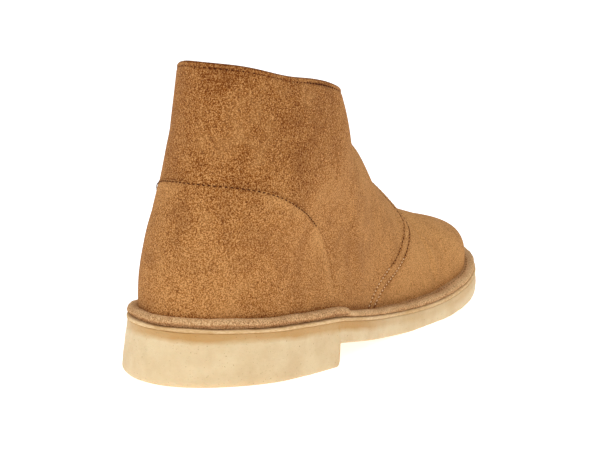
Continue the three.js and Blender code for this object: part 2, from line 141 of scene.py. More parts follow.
def beside(line: Array, inset: float) -> Array:
    """A dense (u, z) line moved to the left of its direction."""
    heading = unit(np.gradient(line, axis=0))
    return line + np.stack([-heading[:, 1], heading[:, 0]], axis=1) * inset


def smooth(value: Array, low: float, high: float) -> Array:
    """Soft step from 0 at low to 1 at high."""
    t = np.clip((np.asarray(value, float) - low) / (high - low), 0, 1)
    return t * t * (3 - 2 * t)


def rounding(distance: Array, reach: Array, power: Array) -> Array:
    """Superellipse: 0 at the end, 1 once the distance is past the reach."""
    left = np.clip(1 - np.asarray(distance, float) / reach, 0, 1)
    return (1 - left**power) ** (1 / power)


def trough(distance: Array, width: float) -> Array:
    """Bell of height 1 over a line, with the given half width."""
    return np.exp(-((distance / width) ** 2))


def unit(vectors: Array) -> Array:
    """Vectors scaled to length 1."""
    return vectors / np.maximum(np.linalg.norm(vectors, axis=-1, keepdims=True), 1e-12)


def distance_to(line: Array, u: Array, z: Array) -> Array:
    """Signed distance in side view from points to a dense line: positive to the left of its direction.

    Args:
        line: Rows of (u, z) along the line.
        u: Forward places.
        z: Heights.

    Returns:
        Distances in mm, in the shape of u.
    """
    shape = np.shape(u)
    flat = np.stack([np.ravel(u), np.ravel(z)], axis=1)
    near = np.empty(len(flat))
    heading = np.gradient(line, axis=0)
    for start in range(0, len(flat), 20000):
        part = flat[start : start + 20000]
        gap = part[:, None, :] - line[None]
        pick = np.argmin((gap**2).sum(-1), axis=1)
        rest = gap[np.arange(len(part)), pick]
        turn = heading[pick]
        sign = np.sign(turn[:, 0] * rest[:, 1] - turn[:, 1] * rest[:, 0])
        near[start : start + 20000] = sign * np.linalg.norm(rest, axis=1)
    return near.reshape(shape)


# ---- the last ------------------------------------------------------------------------------------------


@dataclass
class Sole:
    """Outline and heights of the sole."""

    # u, centre line, half width before the ends are rounded
    outline: Table = (
        (0, 0.0, 34.2), (40, 1.5, 40.5), (100, 6.7, 43.0), (150, 2.9, 41.9),
        (205, -2.0, 48.2), (250, -4.3, 49.4), (296, -7.5, 48.9),
    )
    heel_end: tuple[float, float] = (43.8, 1.93)
    toe_end: tuple[float, float] = (59.3, 2.63)
    heel_breast: float = 82.9
    back_height: float = 26.8
    breast_height: float = 22.6
    ball_height: float = 10.0
    ball_at: float = 200.0
    spring_from: float = 205.0
    spring: float = 13.3
    bend: float = 0.79
    # u, thickness of midsole and crepe before the ball is flattened
    thickness: Table = ((82.9, 11.9), (200, 10.4), (296, 11.0))
    midsole: float = 1.7
    heel_lean: float = 1.7
    around: int = 360

    def __post_init__(self) -> None:
        """Reads the outline table."""
        self.centre: Reading = spline(self.outline, 0, 1)
        self.half: Reading = spline(self.outline, 0, 2)

    def deck(self, u: Array) -> Array:
        """Height of the sole's top: straight over the heel, an S down to the ball, a parabola to the toe.

        Args:
            u: Forward places.

        Returns:
            Heights in mm.
        """
        u = np.asarray(u, float)
        span = self.ball_at - self.heel_breast
        slope = (self.breast_height - self.back_height) / self.heel_breast
        t = np.clip((u - self.heel_breast) / span, 0, 1)
        w = t**self.bend
        down = self.breast_height + (self.ball_height - self.breast_height) * (3 * w**2 - 2 * w**3)
        arch = down + slope * span * t * (1 - t) ** 2
        flat = np.where(u < self.heel_breast, self.back_height + slope * u, arch)
        raised = np.clip((u - self.spring_from) / (SOLE_LENGTH - self.spring_from), 0, 2)
        return flat + self.spring * raised**2

    def bottom(self, u: Array) -> Array:
        """Underside of the crepe: the deck less its thickness, and never under the floor."""
        rows = np.asarray(self.thickness)
        return np.maximum(0.0, self.deck(u) - np.interp(u, rows[:, 0], rows[:, 1]))

    def flare(self, u: Array) -> Array:
        """How far the top of the heel's side leans in: full behind, nothing ahead of the waist."""
        return self.heel_lean * (1 - smooth(u, 50, 130))

    def path(self, stations: Array | None = None) -> tuple[Array, Array]:
        """Outline in plan from the back, round the lateral side and toe, and back along the medial side.

        Args:
            stations: Forward places of the points on each side, or nothing for even spacing.

        Returns:
            Points (x, u) and their outward normals, not closed by a repeated point.
        """
        turn = np.linspace(0, math.pi, self.around // 2 + 1)
        u = SOLE_LENGTH * (1 - np.cos(turn)) / 2 if stations is None else stations
        half = self.half(u) * rounding(u, *self.heel_end) * rounding(SOLE_LENGTH - u, *self.toe_end)
        half[0] = half[-1] = 0
        lateral = np.stack([self.centre(u) + half, u], axis=1)
        medial = np.stack([self.centre(u) - half, u], axis=1)[1:-1][::-1]
        points = np.concatenate([lateral, medial])
        if stations is None:
            dense = np.concatenate([points, points[:1]])
            run = run_along(dense)
            half_run = run[self.around // 2]
            ahead = np.linspace(0, half_run, self.around // 2 + 1)
            behind = np.linspace(half_run, run[-1], self.around // 2 + 1)[1:-1]
            even = np.concatenate([ahead, behind])
            points = np.stack([np.interp(even, run, dense[:, k]) for k in (0, 1)], axis=1)
        heading = np.roll(points, -1, axis=0) - np.roll(points, 1, axis=0)
        return points, unit(np.stack([heading[:, 1], -heading[:, 0]], axis=1))


@dataclass
class Last:
    """The upper's outer surface: x = centre(u, z) plus or minus half(u, z)."""

    sole: Sole
    # z, u of the profile behind the heel
    back_line: Table = ((24, 6.6), (45, 4.8), (75, 7.8), (105, 14.3), (130, 17.4), (155, 19.7))
    # z, half width of the shaft
    shaft_half: Table = ((28, 33.0), (50, 34.4), (75, 36.3), (100, 36.2), (125, 33.4), (155, 29.2))
    # z, middle of the shaft
    shaft_centre: Table = ((28, 0.0), (75, 8.0), (155, 6.6))
    # u, z of the ridge from above the collar to the toe
    front_line: Table = (
        (109.5, 168), (112.9, 140), (117.3, 122), (127, 109.6), (147.5, 97.4), (180, 80.8), (200, 71.8),
        (212, 62.4), (224, 54.8), (238, 49.4), (262, 43.0), (281.5, 38.6), (290.2, 32.8), (292.4, 26),
    )
    # u, roundness of the section, lean of its top
    vamp_shape: Table = (
        (120, 2.7, 0), (160, 2.45, 0.3), (200, 2.0, -4.2), (245, 2.85, -1.8), (292, 3.1, 0.5),
    )
    # u, z of the top edge
    collar: Table = (
        (-20, 148.3), (10, 146.2), (24, 144.6), (45, 138.9), (60, 136.4), (80, 132.6), (100, 127.0),
        (130, 119),
    )
    # u, z of the counter's edge
    counter_seam: Table = (
        (-12, 92.6), (14, 92.3), (30, 88), (48, 79.2), (66, 69.3), (78, 60), (85.5, 49.5),
        (89.5, 38), (94, 28), (100, 12),
    )
    # u, z of the quarters' front edge
    quarter_front: Table = (
        (136, 8), (151, 17.5), (167, 24.5), (186, 31.8), (200, 39.8), (208, 46.5), (208.5, 54),
        (203, 62), (193, 74), (184, 95),
    )
    shaft_power: float = 2.9
    heel_round: tuple[float, float, float] = (41.5, 55.0, 1.96)
    pivot: tuple[float, float] = (170.0, 118.0)
    pivot_blend: float = 30.0
    waist: tuple[float, float, float] = (80.0, 175.0, 60.0)
    flange_width: float = 6.5
    toe_flange: float = 3.6
    flange_thick: float = 2.0
    slot_end: float = 193.0
    slot_least: float = 0.8
    slot_bottom: float = 4.5
    slot_widens: float = 3.0
    slot_taper: float = 16.0

    def __post_init__(self) -> None:
        """Reads the tables."""
        self.back: Reading = spline(self.back_line)
        self.width_at: Reading = spline(self.shaft_half)
        self.middle_at: Reading = spline(self.shaft_centre)
        self.power_at: Reading = spline(self.vamp_shape, 0, 1)
        self.lean_at: Reading = spline(self.vamp_shape, 0, 2)
        self.collar_at: Reading = spline(self.collar)
        self.front: Array = curve_points(self.front_line, 600)
        self.wall_toe: float = SOLE_LENGTH - self.toe_flange
        self.fan_front: Array = self._fan_table(self.front[:, 1:])
        forward = np.linspace(self.pivot[0] + 5, self.flange_width, 300)
        lower = np.stack([forward, self.feather(forward)], axis=1)
        height = np.linspace(float(self.feather(self.flange_width)), self.pivot[1] + 5, 300)
        behind = np.stack([self.back(height), height], axis=1)[1:]
        self.fan_edge: Array = self._fan_table(np.concatenate([lower, behind]))
        corner = (self.pivot[0] - self.flange_width, self.pivot[1] - float(self.feather(self.flange_width)))
        self.corner_angle: float = math.atan2(*corner)

    def _fan_table(self, points: Array) -> Array:
        """Rows of (angle, reach) from the pivot to a line, sorted by angle.

        Args:
            points: Rows of (u, z) along the line.

        Returns:
            The rows.
        """
        near = points[(points[:, 0] <= self.pivot[0] + 5) & (points[:, 1] <= self.pivot[1] + 5)]
        away = np.asarray(self.pivot) - near
        rows = np.stack([np.arctan2(away[:, 0], away[:, 1]), np.hypot(away[:, 0], away[:, 1])], axis=1)
        return rows[np.argsort(rows[:, 0])]

    def feather(self, u: Array) -> Array:
        """Height of the edge where the wall turns out."""
        return self.sole.deck(u) + self.flange_thick

    def ridge(self, u: Array) -> Array:
        """Height of the ridge line."""
        return np.interp(u, self.front[:, 1], self.front[:, 2])

    def height(self, u: Array, down: Array) -> Array:
        """Height at a share of the way down an upright section, from ridge (0) to feather (1)."""
        return self.ridge(u) - down * (self.ridge(u) - self.feather(u))

    def front_at(self, z: Array) -> Array:
        """Forward place of the ridge line at a height."""
        return np.interp(z, self.front[::-1, 2], self.front[::-1, 1])

    def fan(self, u: Array, z: Array) -> tuple[Array, Array]:
        """Place of a point in its section.

        Sections stand upright ahead of the pivot, fan round it behind, and lie level above it.

        Args:
            u: Forward places.
            z: Heights.

        Returns:
            Share of the way from ridge (0) to lower or back edge (1), and how level the section lies.
        """
        ridge, feather = self.ridge(u), self.feather(u)
        upright = (ridge - z) / np.maximum(ridge - feather, 0.05)
        front, back = self.front_at(z), self.back(z)
        level = (front - u) / (front - back)
        angle = np.arctan2(np.clip(self.pivot[0] - u, 0, None), np.clip(self.pivot[1] - z, 1e-9, None))
        inner = np.interp(angle, *self.fan_front.T)
        outer = np.interp(angle, *self.fan_edge.T)
        radial = (np.hypot(self.pivot[0] - u, self.pivot[1] - z) - inner) / (outer - inner)
        mixed = radial + (upright - radial) * smooth(u, self.pivot[0] - self.pivot_blend, self.pivot[0])
        down = np.where(u >= self.pivot[0], upright, np.where(z >= self.pivot[1], level, mixed))
        tilt = np.where(u >= self.pivot[0], 0.0, np.where(z >= self.pivot[1], 1.0, angle / (math.pi / 2)))
        return down, tilt

    def skin(self, u: Array, z: Array) -> tuple[Array, Array]:
        """Middle and half width of the upper at side-view places.

        Args:
            u: Forward places.
            z: Heights.

        Returns:
            Centre and half width, in mm.
        """
        down, tilt = self.fan(u, z)
        down, level = np.clip(down, 0, 1), smooth(tilt, 0, 1)
        power = self.power_at(u) + (self.shaft_power - self.power_at(u)) * level
        over_top = rounding(down, 1 - 0.5 * level, power)
        low, high, heel_power = self.heel_round
        reach = low + (high - low) * smooth(z, 30, 120)
        round_heel = rounding(np.maximum(0, u - self.back(z)), reach, heel_power)
        feather = self.feather(u)
        shaft = (1 - smooth(u, self.waist[0], self.waist[1])) * smooth(z - feather, 0, self.waist[2])
        toe = rounding(self.wall_toe - u, *self.sole.toe_end)
        turned = self.flange_width + (self.toe_flange - self.flange_width) * smooth(u, 215, 275)
        feathered = (self.sole.half(u) - turned) * toe
        lean = self.lean_at(u) * smooth(u, 110, 130) * (1 - down) ** 2 * (1 - level)
        middle = self.sole.centre(u)
        centre = middle + (self.middle_at(z) - middle) * shaft + lean
        half = (feathered + (self.width_at(z) - feathered) * shaft) * over_top * round_heel
        return centre, half

    def upright_line(self, u: Array, t: Array) -> tuple[Array, Array]:
        """Upright section: u is fixed, and z falls from the ridge to the feather."""
        return u + 0 * t, self.height(u, t)

    def radial_line(self, angle: Array, t: Array) -> tuple[Array, Array]:
        """Fanned section: a straight line away from the pivot, from the ridge to the lower or back edge.

        Args:
            angle: Angles from straight down, one for each section.
            t: Shares of the way out.

        Returns:
            u and z, broadcast together.
        """
        inner = np.interp(angle, *self.fan_front.T)
        outer = np.interp(angle, *self.fan_edge.T)
        reach = inner + (outer - inner) * t
        return self.pivot[0] - reach * np.sin(angle), self.pivot[1] - reach * np.cos(angle)

    def collar_line(self, share: Array, t: Array) -> tuple[Array, Array]:
        """Section of the shaft: from the pivot's level (share 0) to the collar's edge (share 1).

        Args:
            share: How far up each line lies.
            t: 0 at the ridge, 1 at the back line.

        Returns:
            u and z, broadcast together.
        """
        low = self.pivot[1]

        def height(u: Array) -> Array:
            """Height of the line."""
            return low + (self.collar_at(u) - low) * share

        ends = []
        for edge in (self.front_at, self.back):
            place = edge(low + 0 * share)
            for _ in range(30):
                place = 0.5 * place + 0.5 * edge(height(place))
            ends.append(place)
        u = ends[0] + (ends[1] - ends[0]) * t
        return u, height(u)

    def slot_half(self, u: Array, z: Array) -> Array:
        """Half width of the throat opening where a section meets the ridge.

        Args:
            u: Forward places.
            z: Heights.

        Returns:
            Half widths in mm.
        """
        run = np.interp(u, self.front[:, 1], self.front[:, 0])
        total = np.interp(self.slot_end, self.front[:, 1], self.front[:, 0])
        along = np.clip(total - run, 0, None)
        half = (self.slot_bottom + self.slot_widens * along / total) * rounding(along, self.slot_taper, 2)
        return np.maximum(self.slot_least, half) + 0 * z


# ---- meshes ----------------------------------------------------------------------------------------------


def to_world(points: Array) -> Array:
    """Metres in the shared frame from (x, u, z) in mm."""
    return (np.asarray(points, float) + np.array([-BOX_CENTRE_X, -SOLE_LENGTH / 2, 0])) / 1000


def grid_faces(rows: int, columns: int, closed: bool = False, start: int = 0) -> Array:
    """Four-cornered faces of a grid of points numbered row by row.

    Args:
        rows: Number of rows.
        columns: Number of points in each row.
        closed: Joins the last column to the first.
        start: Number of the grid's first point.

    Returns:
        Rows of four point numbers.
    """
    column = np.arange(columns if closed else columns - 1)
    near = (np.arange(rows - 1) * columns)[:, None]
    a, b = near + column, near + (column + 1) % columns
    return start + np.stack([a, b, b + columns, a + columns], axis=-1).reshape(-1, 4)


def faces_of(quads: Array) -> list[list[int]]:
    """Drops the repeated corners of folded faces, which become triangles, and the faces that vanish.

    Args:
        quads: Rows of four point numbers.

    Returns:
        Point numbers of each face.
    """
    same = quads == np.roll(quads, -1, axis=1)
    count = same.sum(axis=1)
    cross = (quads[:, 0] == quads[:, 2]) | (quads[:, 1] == quads[:, 3])
    whole = quads[(count == 0) & ~cross]
    folded, gone = quads[(count == 1) & ~cross], same[(count == 1) & ~cross]
    order = (np.argmax(gone, axis=1)[:, None] + np.array([1, 2, 3])) % 4
    return whole.tolist() + np.take_along_axis(folded, order, axis=1).tolist()


def point_normals(points: Array, quads: Array) -> Array:
    """Outward normals of points: the sum of the normals of the faces round each.

    Args:
        points: Rows of (x, u, z).
        quads: Rows of four point numbers.

    Returns:
        One unit vector for each point.
    """
    across = points[quads[:, 2]] - points[quads[:, 0]]
    up = points[quads[:, 3]] - points[quads[:, 1]]
    face = np.cross(across, up)
    total = np.zeros_like(points)
    for corner in range(4):
        np.add.at(total, quads[:, corner], face)
    return unit(total)


@dataclass
class Patch:
    """A surface as points, faces and readings for each point."""

    points: Array
    quads: Array
    readings: dict[str, Array] = field(default_factory=dict)

    def joined(self, other: "Patch") -> "Patch":
        """This surface and another as one, not yet welded.

        Args:
            other: A surface with the same readings.

        Returns:
            Both, the other one's points after this one's.
        """
        points = np.concatenate([self.points, other.points])
        quads = np.concatenate([self.quads, other.quads + len(self.points)])
        readings = {k: np.concatenate([v, other.readings[k]]) for k, v in self.readings.items()}
        return Patch(points, quads, readings)

    def welded(self, tolerance: float = 0.004) -> "Patch":
        """Points that lie together become one.

        Args:
            tolerance: Size in mm of the cells in which points fall together.

        Returns:
            The welded surface.
        """
        keys = np.round(self.points / tolerance).astype(np.int64)
        _, first, number = np.unique(keys, axis=0, return_index=True, return_inverse=True)
        readings = {k: v[first] for k, v in self.readings.items()}
        return Patch(self.points[first], number.reshape(-1)[self.quads], readings)

    def shell(self, outer: Array | float, inner: Array | float, shape: Array | float = 0.0) -> "Patch":
        """Closed wall between two offsets along the normals, its open edges joined by strips.

        Args:
            outer: Offset of the outer face at each point.
            inner: Offset of the inner face at each point.
            shape: Offset that both faces share, such as creases.

        Returns:
            The closed wall. The reading "inside" is 1 on its inner face.
        """
        normals = point_normals(self.points, self.quads)
        size = len(self.points)
        face, lining = (
            self.points + normals * np.reshape(np.broadcast_to(shape + offset, size), (-1, 1))
            for offset in (outer, inner)
        )
        start = np.concatenate([self.quads[:, k] for k in range(4)])
        end = np.concatenate([self.quads[:, (k + 1) % 4] for k in range(4)])
        start, end = start[start != end], end[start != end]
        key, back = start * size + end, end * size + start
        rim = ~np.isin(key, back)
        strip = np.stack([end[rim], start[rim], start[rim] + size, end[rim] + size], axis=1)
        quads = np.concatenate([self.quads, self.quads[:, ::-1] + size, strip])
        readings = {k: np.concatenate([v, v]) for k, v in self.readings.items()}
        readings["inside"] = np.repeat([0.0, 1.0], size)
        return Patch(np.concatenate([face, lining]), quads, readings)

    def piece(self, name: str, finish: "Finish", slot: str) -> bpy.types.Object:
        """Makes the object, rides it on the boot and gives it its finish.

        Args:
            name: Name of the object.
            finish: What it is made of.
            slot: Material slot of the record; not used.

        Returns:
            The new object.
        """
        mesh = bpy.data.meshes.new(name)
        mesh.from_pydata(to_world(self.points).tolist(), [], faces_of(self.quads))
        for key, values in self.readings.items():
            layer = mesh.attributes.new(key, "FLOAT", "POINT")
            layer.data.foreach_set("value", np.asarray(values, np.float32))
        mesh.validate()
        mesh.shade_smooth()
        mesh.materials.append(finish.material())
        piece = bpy.data.objects.new(name, mesh)
        bpy.context.scene.collection.objects.link(piece)
        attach(piece, BODY)
        LOG.info("%s: %d faces", name, len(mesh.polygons))
        return piece


def ring_stack(rings: list[Array], readings: dict[str, list[Array]]) -> Patch:
    """Closed skin over a stack of rings, with strips across the first and last ring.

    Args:
        rings: Points of each ring, from the underside up, numbered alike and anticlockwise from above.
        readings: For each reading, its values on each ring.

    Returns:
        The closed surface.
    """
    size = len(rings[0])
    points = np.concatenate(rings)
    sides = grid_faces(len(rings), size, closed=True)
    i = np.arange(size // 2)
    j, left = size - 1 - i, (size - i) % size
    below = np.stack([i, left, j, i + 1], axis=1)
    above = below[:, ::-1] + (len(rings) - 1) * size
    quads = np.concatenate([sides, below, above])
    return Patch(points, quads, {k: np.concatenate(v) for k, v in readings.items()})


# ---- finishes ----------------------------------------------------------------------------------------------

Colour = tuple[float, float, float]
Socket = bpy.types.NodeSocket
Material = bpy.types.Material
Bumps = list[tuple[Socket, float]]


def linear(red: float, green: float, blue: float) -> Colour:
    """Scene colour of a display colour given from 0 to 255.

    Args:
        red: Red.
        green: Green.
        blue: Blue.

    Returns:
        The colour, each part from 0 to 1.
    """
    share = np.array([red, green, blue]) / 255
    curve = np.where(share <= 0.04045, share / 12.92, ((share + 0.055) / 1.055) ** 2.4)
    return tuple(float(v) for v in curve)


class Recipe:
    """A material's nodes, laid one by one."""

    def __init__(self, name: str) -> None:
        """Starts a material with a single surface shader.

        Args:
            name: Name of the material.
        """
        self.material = bpy.data.materials.new(name)
        self.material.use_nodes = True
        self.tree = self.material.node_tree
        self.shader = self.tree.nodes["Principled BSDF"]
        self.coordinates = self.tree.nodes.new("ShaderNodeTexCoord").outputs["Object"]

    def link(self, source: Socket, target: Socket) -> None:
        """Joins two sockets."""
        self.tree.links.new(source, target)

    def finished(self, colour: Socket, bumps: Bumps, **values: float | Colour) -> Material:
        """Puts the colour, the bumps and other values in place.

        Args:
            colour: Colour of the surface.
            bumps: Heights, each with its depth in metres.
            **values: The shader's own values, named with underscores for spaces.

        Returns:
            The material.
        """
        self.link(colour, self.shader.inputs["Base Color"])
        self.set(**values)
        self.bump(bumps)
        return self.material

    def set(self, **values: float | Colour) -> None:
        """Sets the shader's own sockets, named with underscores for spaces."""
        for name, value in values.items():
            socket = self.shader.inputs[name.replace("_", " ")]
            socket.default_value = (*value, 1.0) if isinstance(value, tuple) else value

    def noise(
        self, scale: float, detail: float = 2.0, roughness: float = 0.5, stretch: Colour = (1, 1, 1),
        warp: float = 0.0,
    ) -> Socket:
        """Cloud of a given fineness.

        Args:
            scale: Clouds to the metre.
            detail: Number of finer layers.
            roughness: Share of the finer layers.
            stretch: Scale along each axis.
            warp: How far the cloud folds into itself.

        Returns:
            A value socket around 0.5.
        """
        mapping = self.tree.nodes.new("ShaderNodeMapping")
        mapping.inputs["Scale"].default_value = stretch
        self.link(self.coordinates, mapping.inputs["Vector"])
        node = self.tree.nodes.new("ShaderNodeTexNoise")
        node.inputs["Scale"].default_value = scale
        node.inputs["Detail"].default_value = detail
        node.inputs["Roughness"].default_value = roughness
        node.inputs["Distortion"].default_value = warp
        self.link(mapping.outputs["Vector"], node.inputs["Vector"])
        return node.outputs["Fac"]

    def reading(self, name: str) -> Socket:
        """Value that the mesh carries under a name.

        Args:
            name: Name of the reading.

        Returns:
            A value socket.
        """
        node = self.tree.nodes.new("ShaderNodeAttribute")
        node.attribute_name = name
        return node.outputs["Fac"]

    def range(self, value: Socket, low: float, high: float, to_low: float = 0, to_high: float = 1) -> Socket:
        """Maps one range of values to another, held at its ends.

        Args:
            value: Value to map.
            low: Start of its range.
            high: End of its range.
            to_low: What the start becomes.
            to_high: What the end becomes.

        Returns:
            A value socket.
        """
        node = self.tree.nodes.new("ShaderNodeMapRange")
        for name, number in zip(("From Min", "From Max", "To Min", "To Max"), (low, high, to_low, to_high)):
            node.inputs[name].default_value = number
        self.link(value, node.inputs["Value"])
        return node.outputs["Result"]

    def weighted(self, *parts: tuple[Socket, float]) -> Socket:
        """Sum of values, each with its weight.

        Args:
            *parts: Values and their weights.

        Returns:
            A value socket.
        """
        total = self.math("MULTIPLY", *parts[0])
        for value, weight in parts[1:]:
            total = self.math("ADD", total, self.math("MULTIPLY", value, weight))
        return total

    def math(self, kind: str, a: Socket, b: Socket | float) -> Socket:
        """Joins two values by a sum or product, such as ADD or MULTIPLY.

        Args:
            kind: The kind, in the node's own word.
            a: First value.
            b: Second value, a socket or a number.

        Returns:
            A value socket.
        """
        node = self.tree.nodes.new("ShaderNodeMath")
        node.operation = kind
        self.link(a, node.inputs[0])
        if isinstance(b, (int, float)):
            node.inputs[1].default_value = b
        else:
            self.link(b, node.inputs[1])
        return node.outputs["Value"]

    def blend(self, share: Socket, a: Socket | Colour, b: Socket | Colour) -> Socket:
        """Blends two colours by a share.

        Args:
            share: 0 gives the first colour, 1 the second.
            a: First colour.
            b: Second colour.

        Returns:
            A colour socket.
        """
        node = self.tree.nodes.new("ShaderNodeMix")
        node.data_type = "RGBA"
        self.link(share, node.inputs["Factor"])
        for name, colour in (("A", a), ("B", b)):
            socket = next(s for s in node.inputs if s.name == name and s.type == "RGBA")
            if isinstance(colour, tuple):
                socket.default_value = (*colour, 1.0)
            else:
                self.link(colour, socket)
        return next(s for s in node.outputs if s.type == "RGBA")

    def bump(self, heights: Bumps) -> None:
        """Raises the surface by several heights, each with its depth in metres.

        Args:
            heights: Heights and depths, the coarsest first.
        """
        normal = None
        for height, depth in heights:
            node = self.tree.nodes.new("ShaderNodeBump")
            node.inputs["Distance"].default_value = depth
            self.link(height, node.inputs["Height"])
            if normal is not None:
                self.link(normal, node.inputs["Normal"])
            normal = node.outputs["Normal"]
        self.link(normal, self.shader.inputs["Normal"])


class Finish:
    """Something a piece is made of."""

    name: str

    def material(self) -> Material:
        """The material, made once."""
        found = bpy.data.materials.get(self.name)
        return found or self.lay(Recipe(self.name))

    def lay(self, recipe: Recipe) -> Material:
        """Lays the nodes."""
        raise NotImplementedError


@dataclass(frozen=True)
class Suede(Finish):
    """Suede with a short, uneven nap. The tone reading lightens or darkens it: partly the nap's own tone,
    partly painted light and shade.
    """

    name: str
    dark: Colour = linear(102, 47, 9)
    middle: Colour = linear(164, 99, 37)
    light: Colour = linear(218, 162, 100)
    bumpy: float = 0.0006

    def lay(self, recipe: Recipe) -> Material:
        """Speckle of nap in three browns, soft patches where it lies another way, and the tone reading.

        Args:
            recipe: The material as started.

        Returns:
            The material.
        """
        speckle = recipe.noise(1500, 3.0, 0.75)
        fine = recipe.noise(2600, 2.0, 0.6)
        patch = recipe.noise(95, 4.0, 0.6, warp=0.6)
        sweep = recipe.noise(28, 2.0, 0.5)
        tone_and_painted_shading = recipe.reading("tone_and_painted_shading")
        grain = recipe.weighted((speckle, 0.7), (fine, 0.3), (tone_and_painted_shading, 0.06))
        low = recipe.range(grain, 0.43, 0.5)
        high = recipe.range(grain, 0.5, 0.57)
        colour = recipe.blend(low, self.dark, self.middle)
        colour = recipe.blend(high, colour, self.light)
        lay = recipe.weighted((patch, 0.6), (sweep, 0.4))
        shade = recipe.range(lay, 0.34, 0.66, 0.0, 1.0)
        colour = recipe.blend(recipe.range(shade, 0.0, 0.5, 0.34, 0.0), colour, self.dark)
        colour = recipe.blend(recipe.range(shade, 0.5, 1.0, 0.0, 0.3), colour, self.light)
        # The tone reading blends towards dark and light: painted shade in grooves, creases and holes, painted
        # highlights on raised strips, and the nap's own tone.
        colour = recipe.blend(recipe.range(tone_and_painted_shading, -1, 0, 0.65, 0.0), colour, self.dark)
        colour = recipe.blend(recipe.range(tone_and_painted_shading, 0, 1, 0.0, 0.4), colour, self.light)
        return recipe.finished(
            colour, [(patch, 0.0008), (speckle, self.bumpy), (fine, self.bumpy * 0.5)], Roughness=0.95,
            Sheen_Weight=0.16, Sheen_Roughness=0.4, Sheen_Tint=linear(240, 188, 126), Specular_IOR_Level=0.15,
        )


@dataclass(frozen=True)
class Crepe(Finish):
    """Crepe rubber, amber near its top. The reading "below" is the depth under the deck."""

    name: str
    pale: Colour = linear(221, 198, 157)
    cream: Colour = linear(210, 183, 140)
    amber: Colour = linear(190, 144, 82)
    speck: Colour = linear(150, 112, 62)
    band: tuple[float, float] = (4.4, 7.0)

    def lay(self, recipe: Recipe) -> Material:
        """Cloudy cream, an uneven amber band near the top, and fine dark specks.

        Args:
            recipe: The material as started.

        Returns:
            The material.
        """
        cloud = recipe.noise(70, 4.0, 0.6)
        colour = recipe.blend(recipe.range(cloud, 0.35, 0.65), self.cream, self.pale)
        below = recipe.reading("below")
        drift = recipe.range(recipe.noise(45, 3.0, 0.6, (1, 1, 2)), 0.3, 0.7, -0.9, 0.9)
        depth = recipe.math("ADD", below, drift)
        streak = recipe.range(recipe.noise(26, 3.0, 0.5), 0.35, 0.65, 0.45, 0.95)
        band = recipe.math("MULTIPLY", recipe.range(depth, self.band[0], self.band[1], 1.0, 0.0), streak)
        band = recipe.math("MULTIPLY", band, recipe.reading("amber"))
        colour = recipe.blend(band, colour, self.amber)
        dots = recipe.range(recipe.noise(1300, 1.0, 0.5), 0.70, 0.78, 0.0, 0.8)
        colour = recipe.blend(dots, colour, self.speck)
        return recipe.finished(
            colour, [(recipe.noise(240, 4.0, 0.6), 0.0005), (recipe.noise(1300, 2.0, 0.5), 0.00025)],
            Roughness=0.62, Subsurface_Weight=0.12, Subsurface_Scale=0.004, Specular_IOR_Level=0.35,
        )


@dataclass(frozen=True)
class Board(Finish):
    """Pale fibre board or leather with a fine grain along its length."""

    name: str
    light: Colour = linear(226, 194, 146)
    dark: Colour = linear(196, 154, 98)

    def lay(self, recipe: Recipe) -> Material:
        """Long thin fibres in two creams.

        Args:
            recipe: The material as started.

        Returns:
            The material.
        """
        fibre = recipe.noise(420, 3.0, 0.6, (1, 1, 5))
        cloud = recipe.noise(60, 3.0, 0.6)
        mixed = recipe.weighted((fibre, 0.6), (cloud, 0.4))
        colour = recipe.blend(recipe.range(mixed, 0.38, 0.6), self.dark, self.light)
        return recipe.finished(colour, [(fibre, 0.0003)], Roughness=0.75)


@dataclass(frozen=True)
class Thread(Finish):
    """Twisted sewing thread or round braided lace."""

    name: str
    light: Colour = linear(196, 146, 92)
    dark: Colour = linear(120, 76, 38)
    twist: float = 2400.0

    def lay(self, recipe: Recipe) -> Material:
        """Fine slanting strands in two tones.

        Args:
            recipe: The material as started.

        Returns:
            The material.
        """
        strand = recipe.noise(self.twist, 2.0, 0.5, (1, 0.4, 1))
        colour = recipe.blend(recipe.range(strand, 0.35, 0.65), self.dark, self.light)
        return recipe.finished(colour, [(strand, 0.0002)], Roughness=0.9, Specular_IOR_Level=0.08)


SUEDE = Suede("suede_tan")
SUEDE_EDGE = Suede(
    "suede_cut_edge", linear(150, 92, 48), linear(214, 160, 104), linear(246, 206, 154), 0.0008
)
CREPE = Crepe("crepe_rubber")
MIDSOLE = Board("midsole_board")
INSOLE = Board("insole_leather", linear(214, 170, 118), linear(180, 132, 82))
# Dark brown thread, darkened further so that its stitches also stand in for the shade in the stitch holes.
SEAM_THREAD_AND_HOLE_SHADE = Thread("seam_thread_and_hole_shade", linear(96, 46, 18), linear(52, 22, 8))
PALE_THREAD = Thread("pale_thread", linear(248, 220, 176), linear(222, 180, 128))
WELT_THREAD = Thread("welt_thread", linear(206, 160, 108), linear(150, 100, 56))
LACE = Thread("lace_cotton", linear(176, 122, 70), linear(128, 82, 42), 1200.0)


# ---- the upper ---------------------------------------------------------------------------------------------


def surface_patch(last: Last, u: Array, z: Array, side: Side, shut: Array) -> Patch:
    """Grid of one side of the upper's surface.

    Args:
        last: The last that gives the surface.
        u: Forward places, one row for each section.
        z: Heights.
        side: Which side.
        shut: Where the two sides meet, so that the half width is 0.

    Returns:
        The grid, its faces outwards, with readings u, z and side.
    """
    centre, half = last.skin(u, z)
    half = np.where(shut, 0.0, half)
    points = np.stack([centre + side.value * half, u, z], axis=-1).reshape(-1, 3)
    quads = grid_faces(*u.shape)
    if side is Side.LATERAL:
        quads = quads[:, ::-1]
    readings = {"u": np.ravel(u), "z": np.ravel(z), "side": np.full(u.size, side.value)}
    return Patch(points, quads, readings)


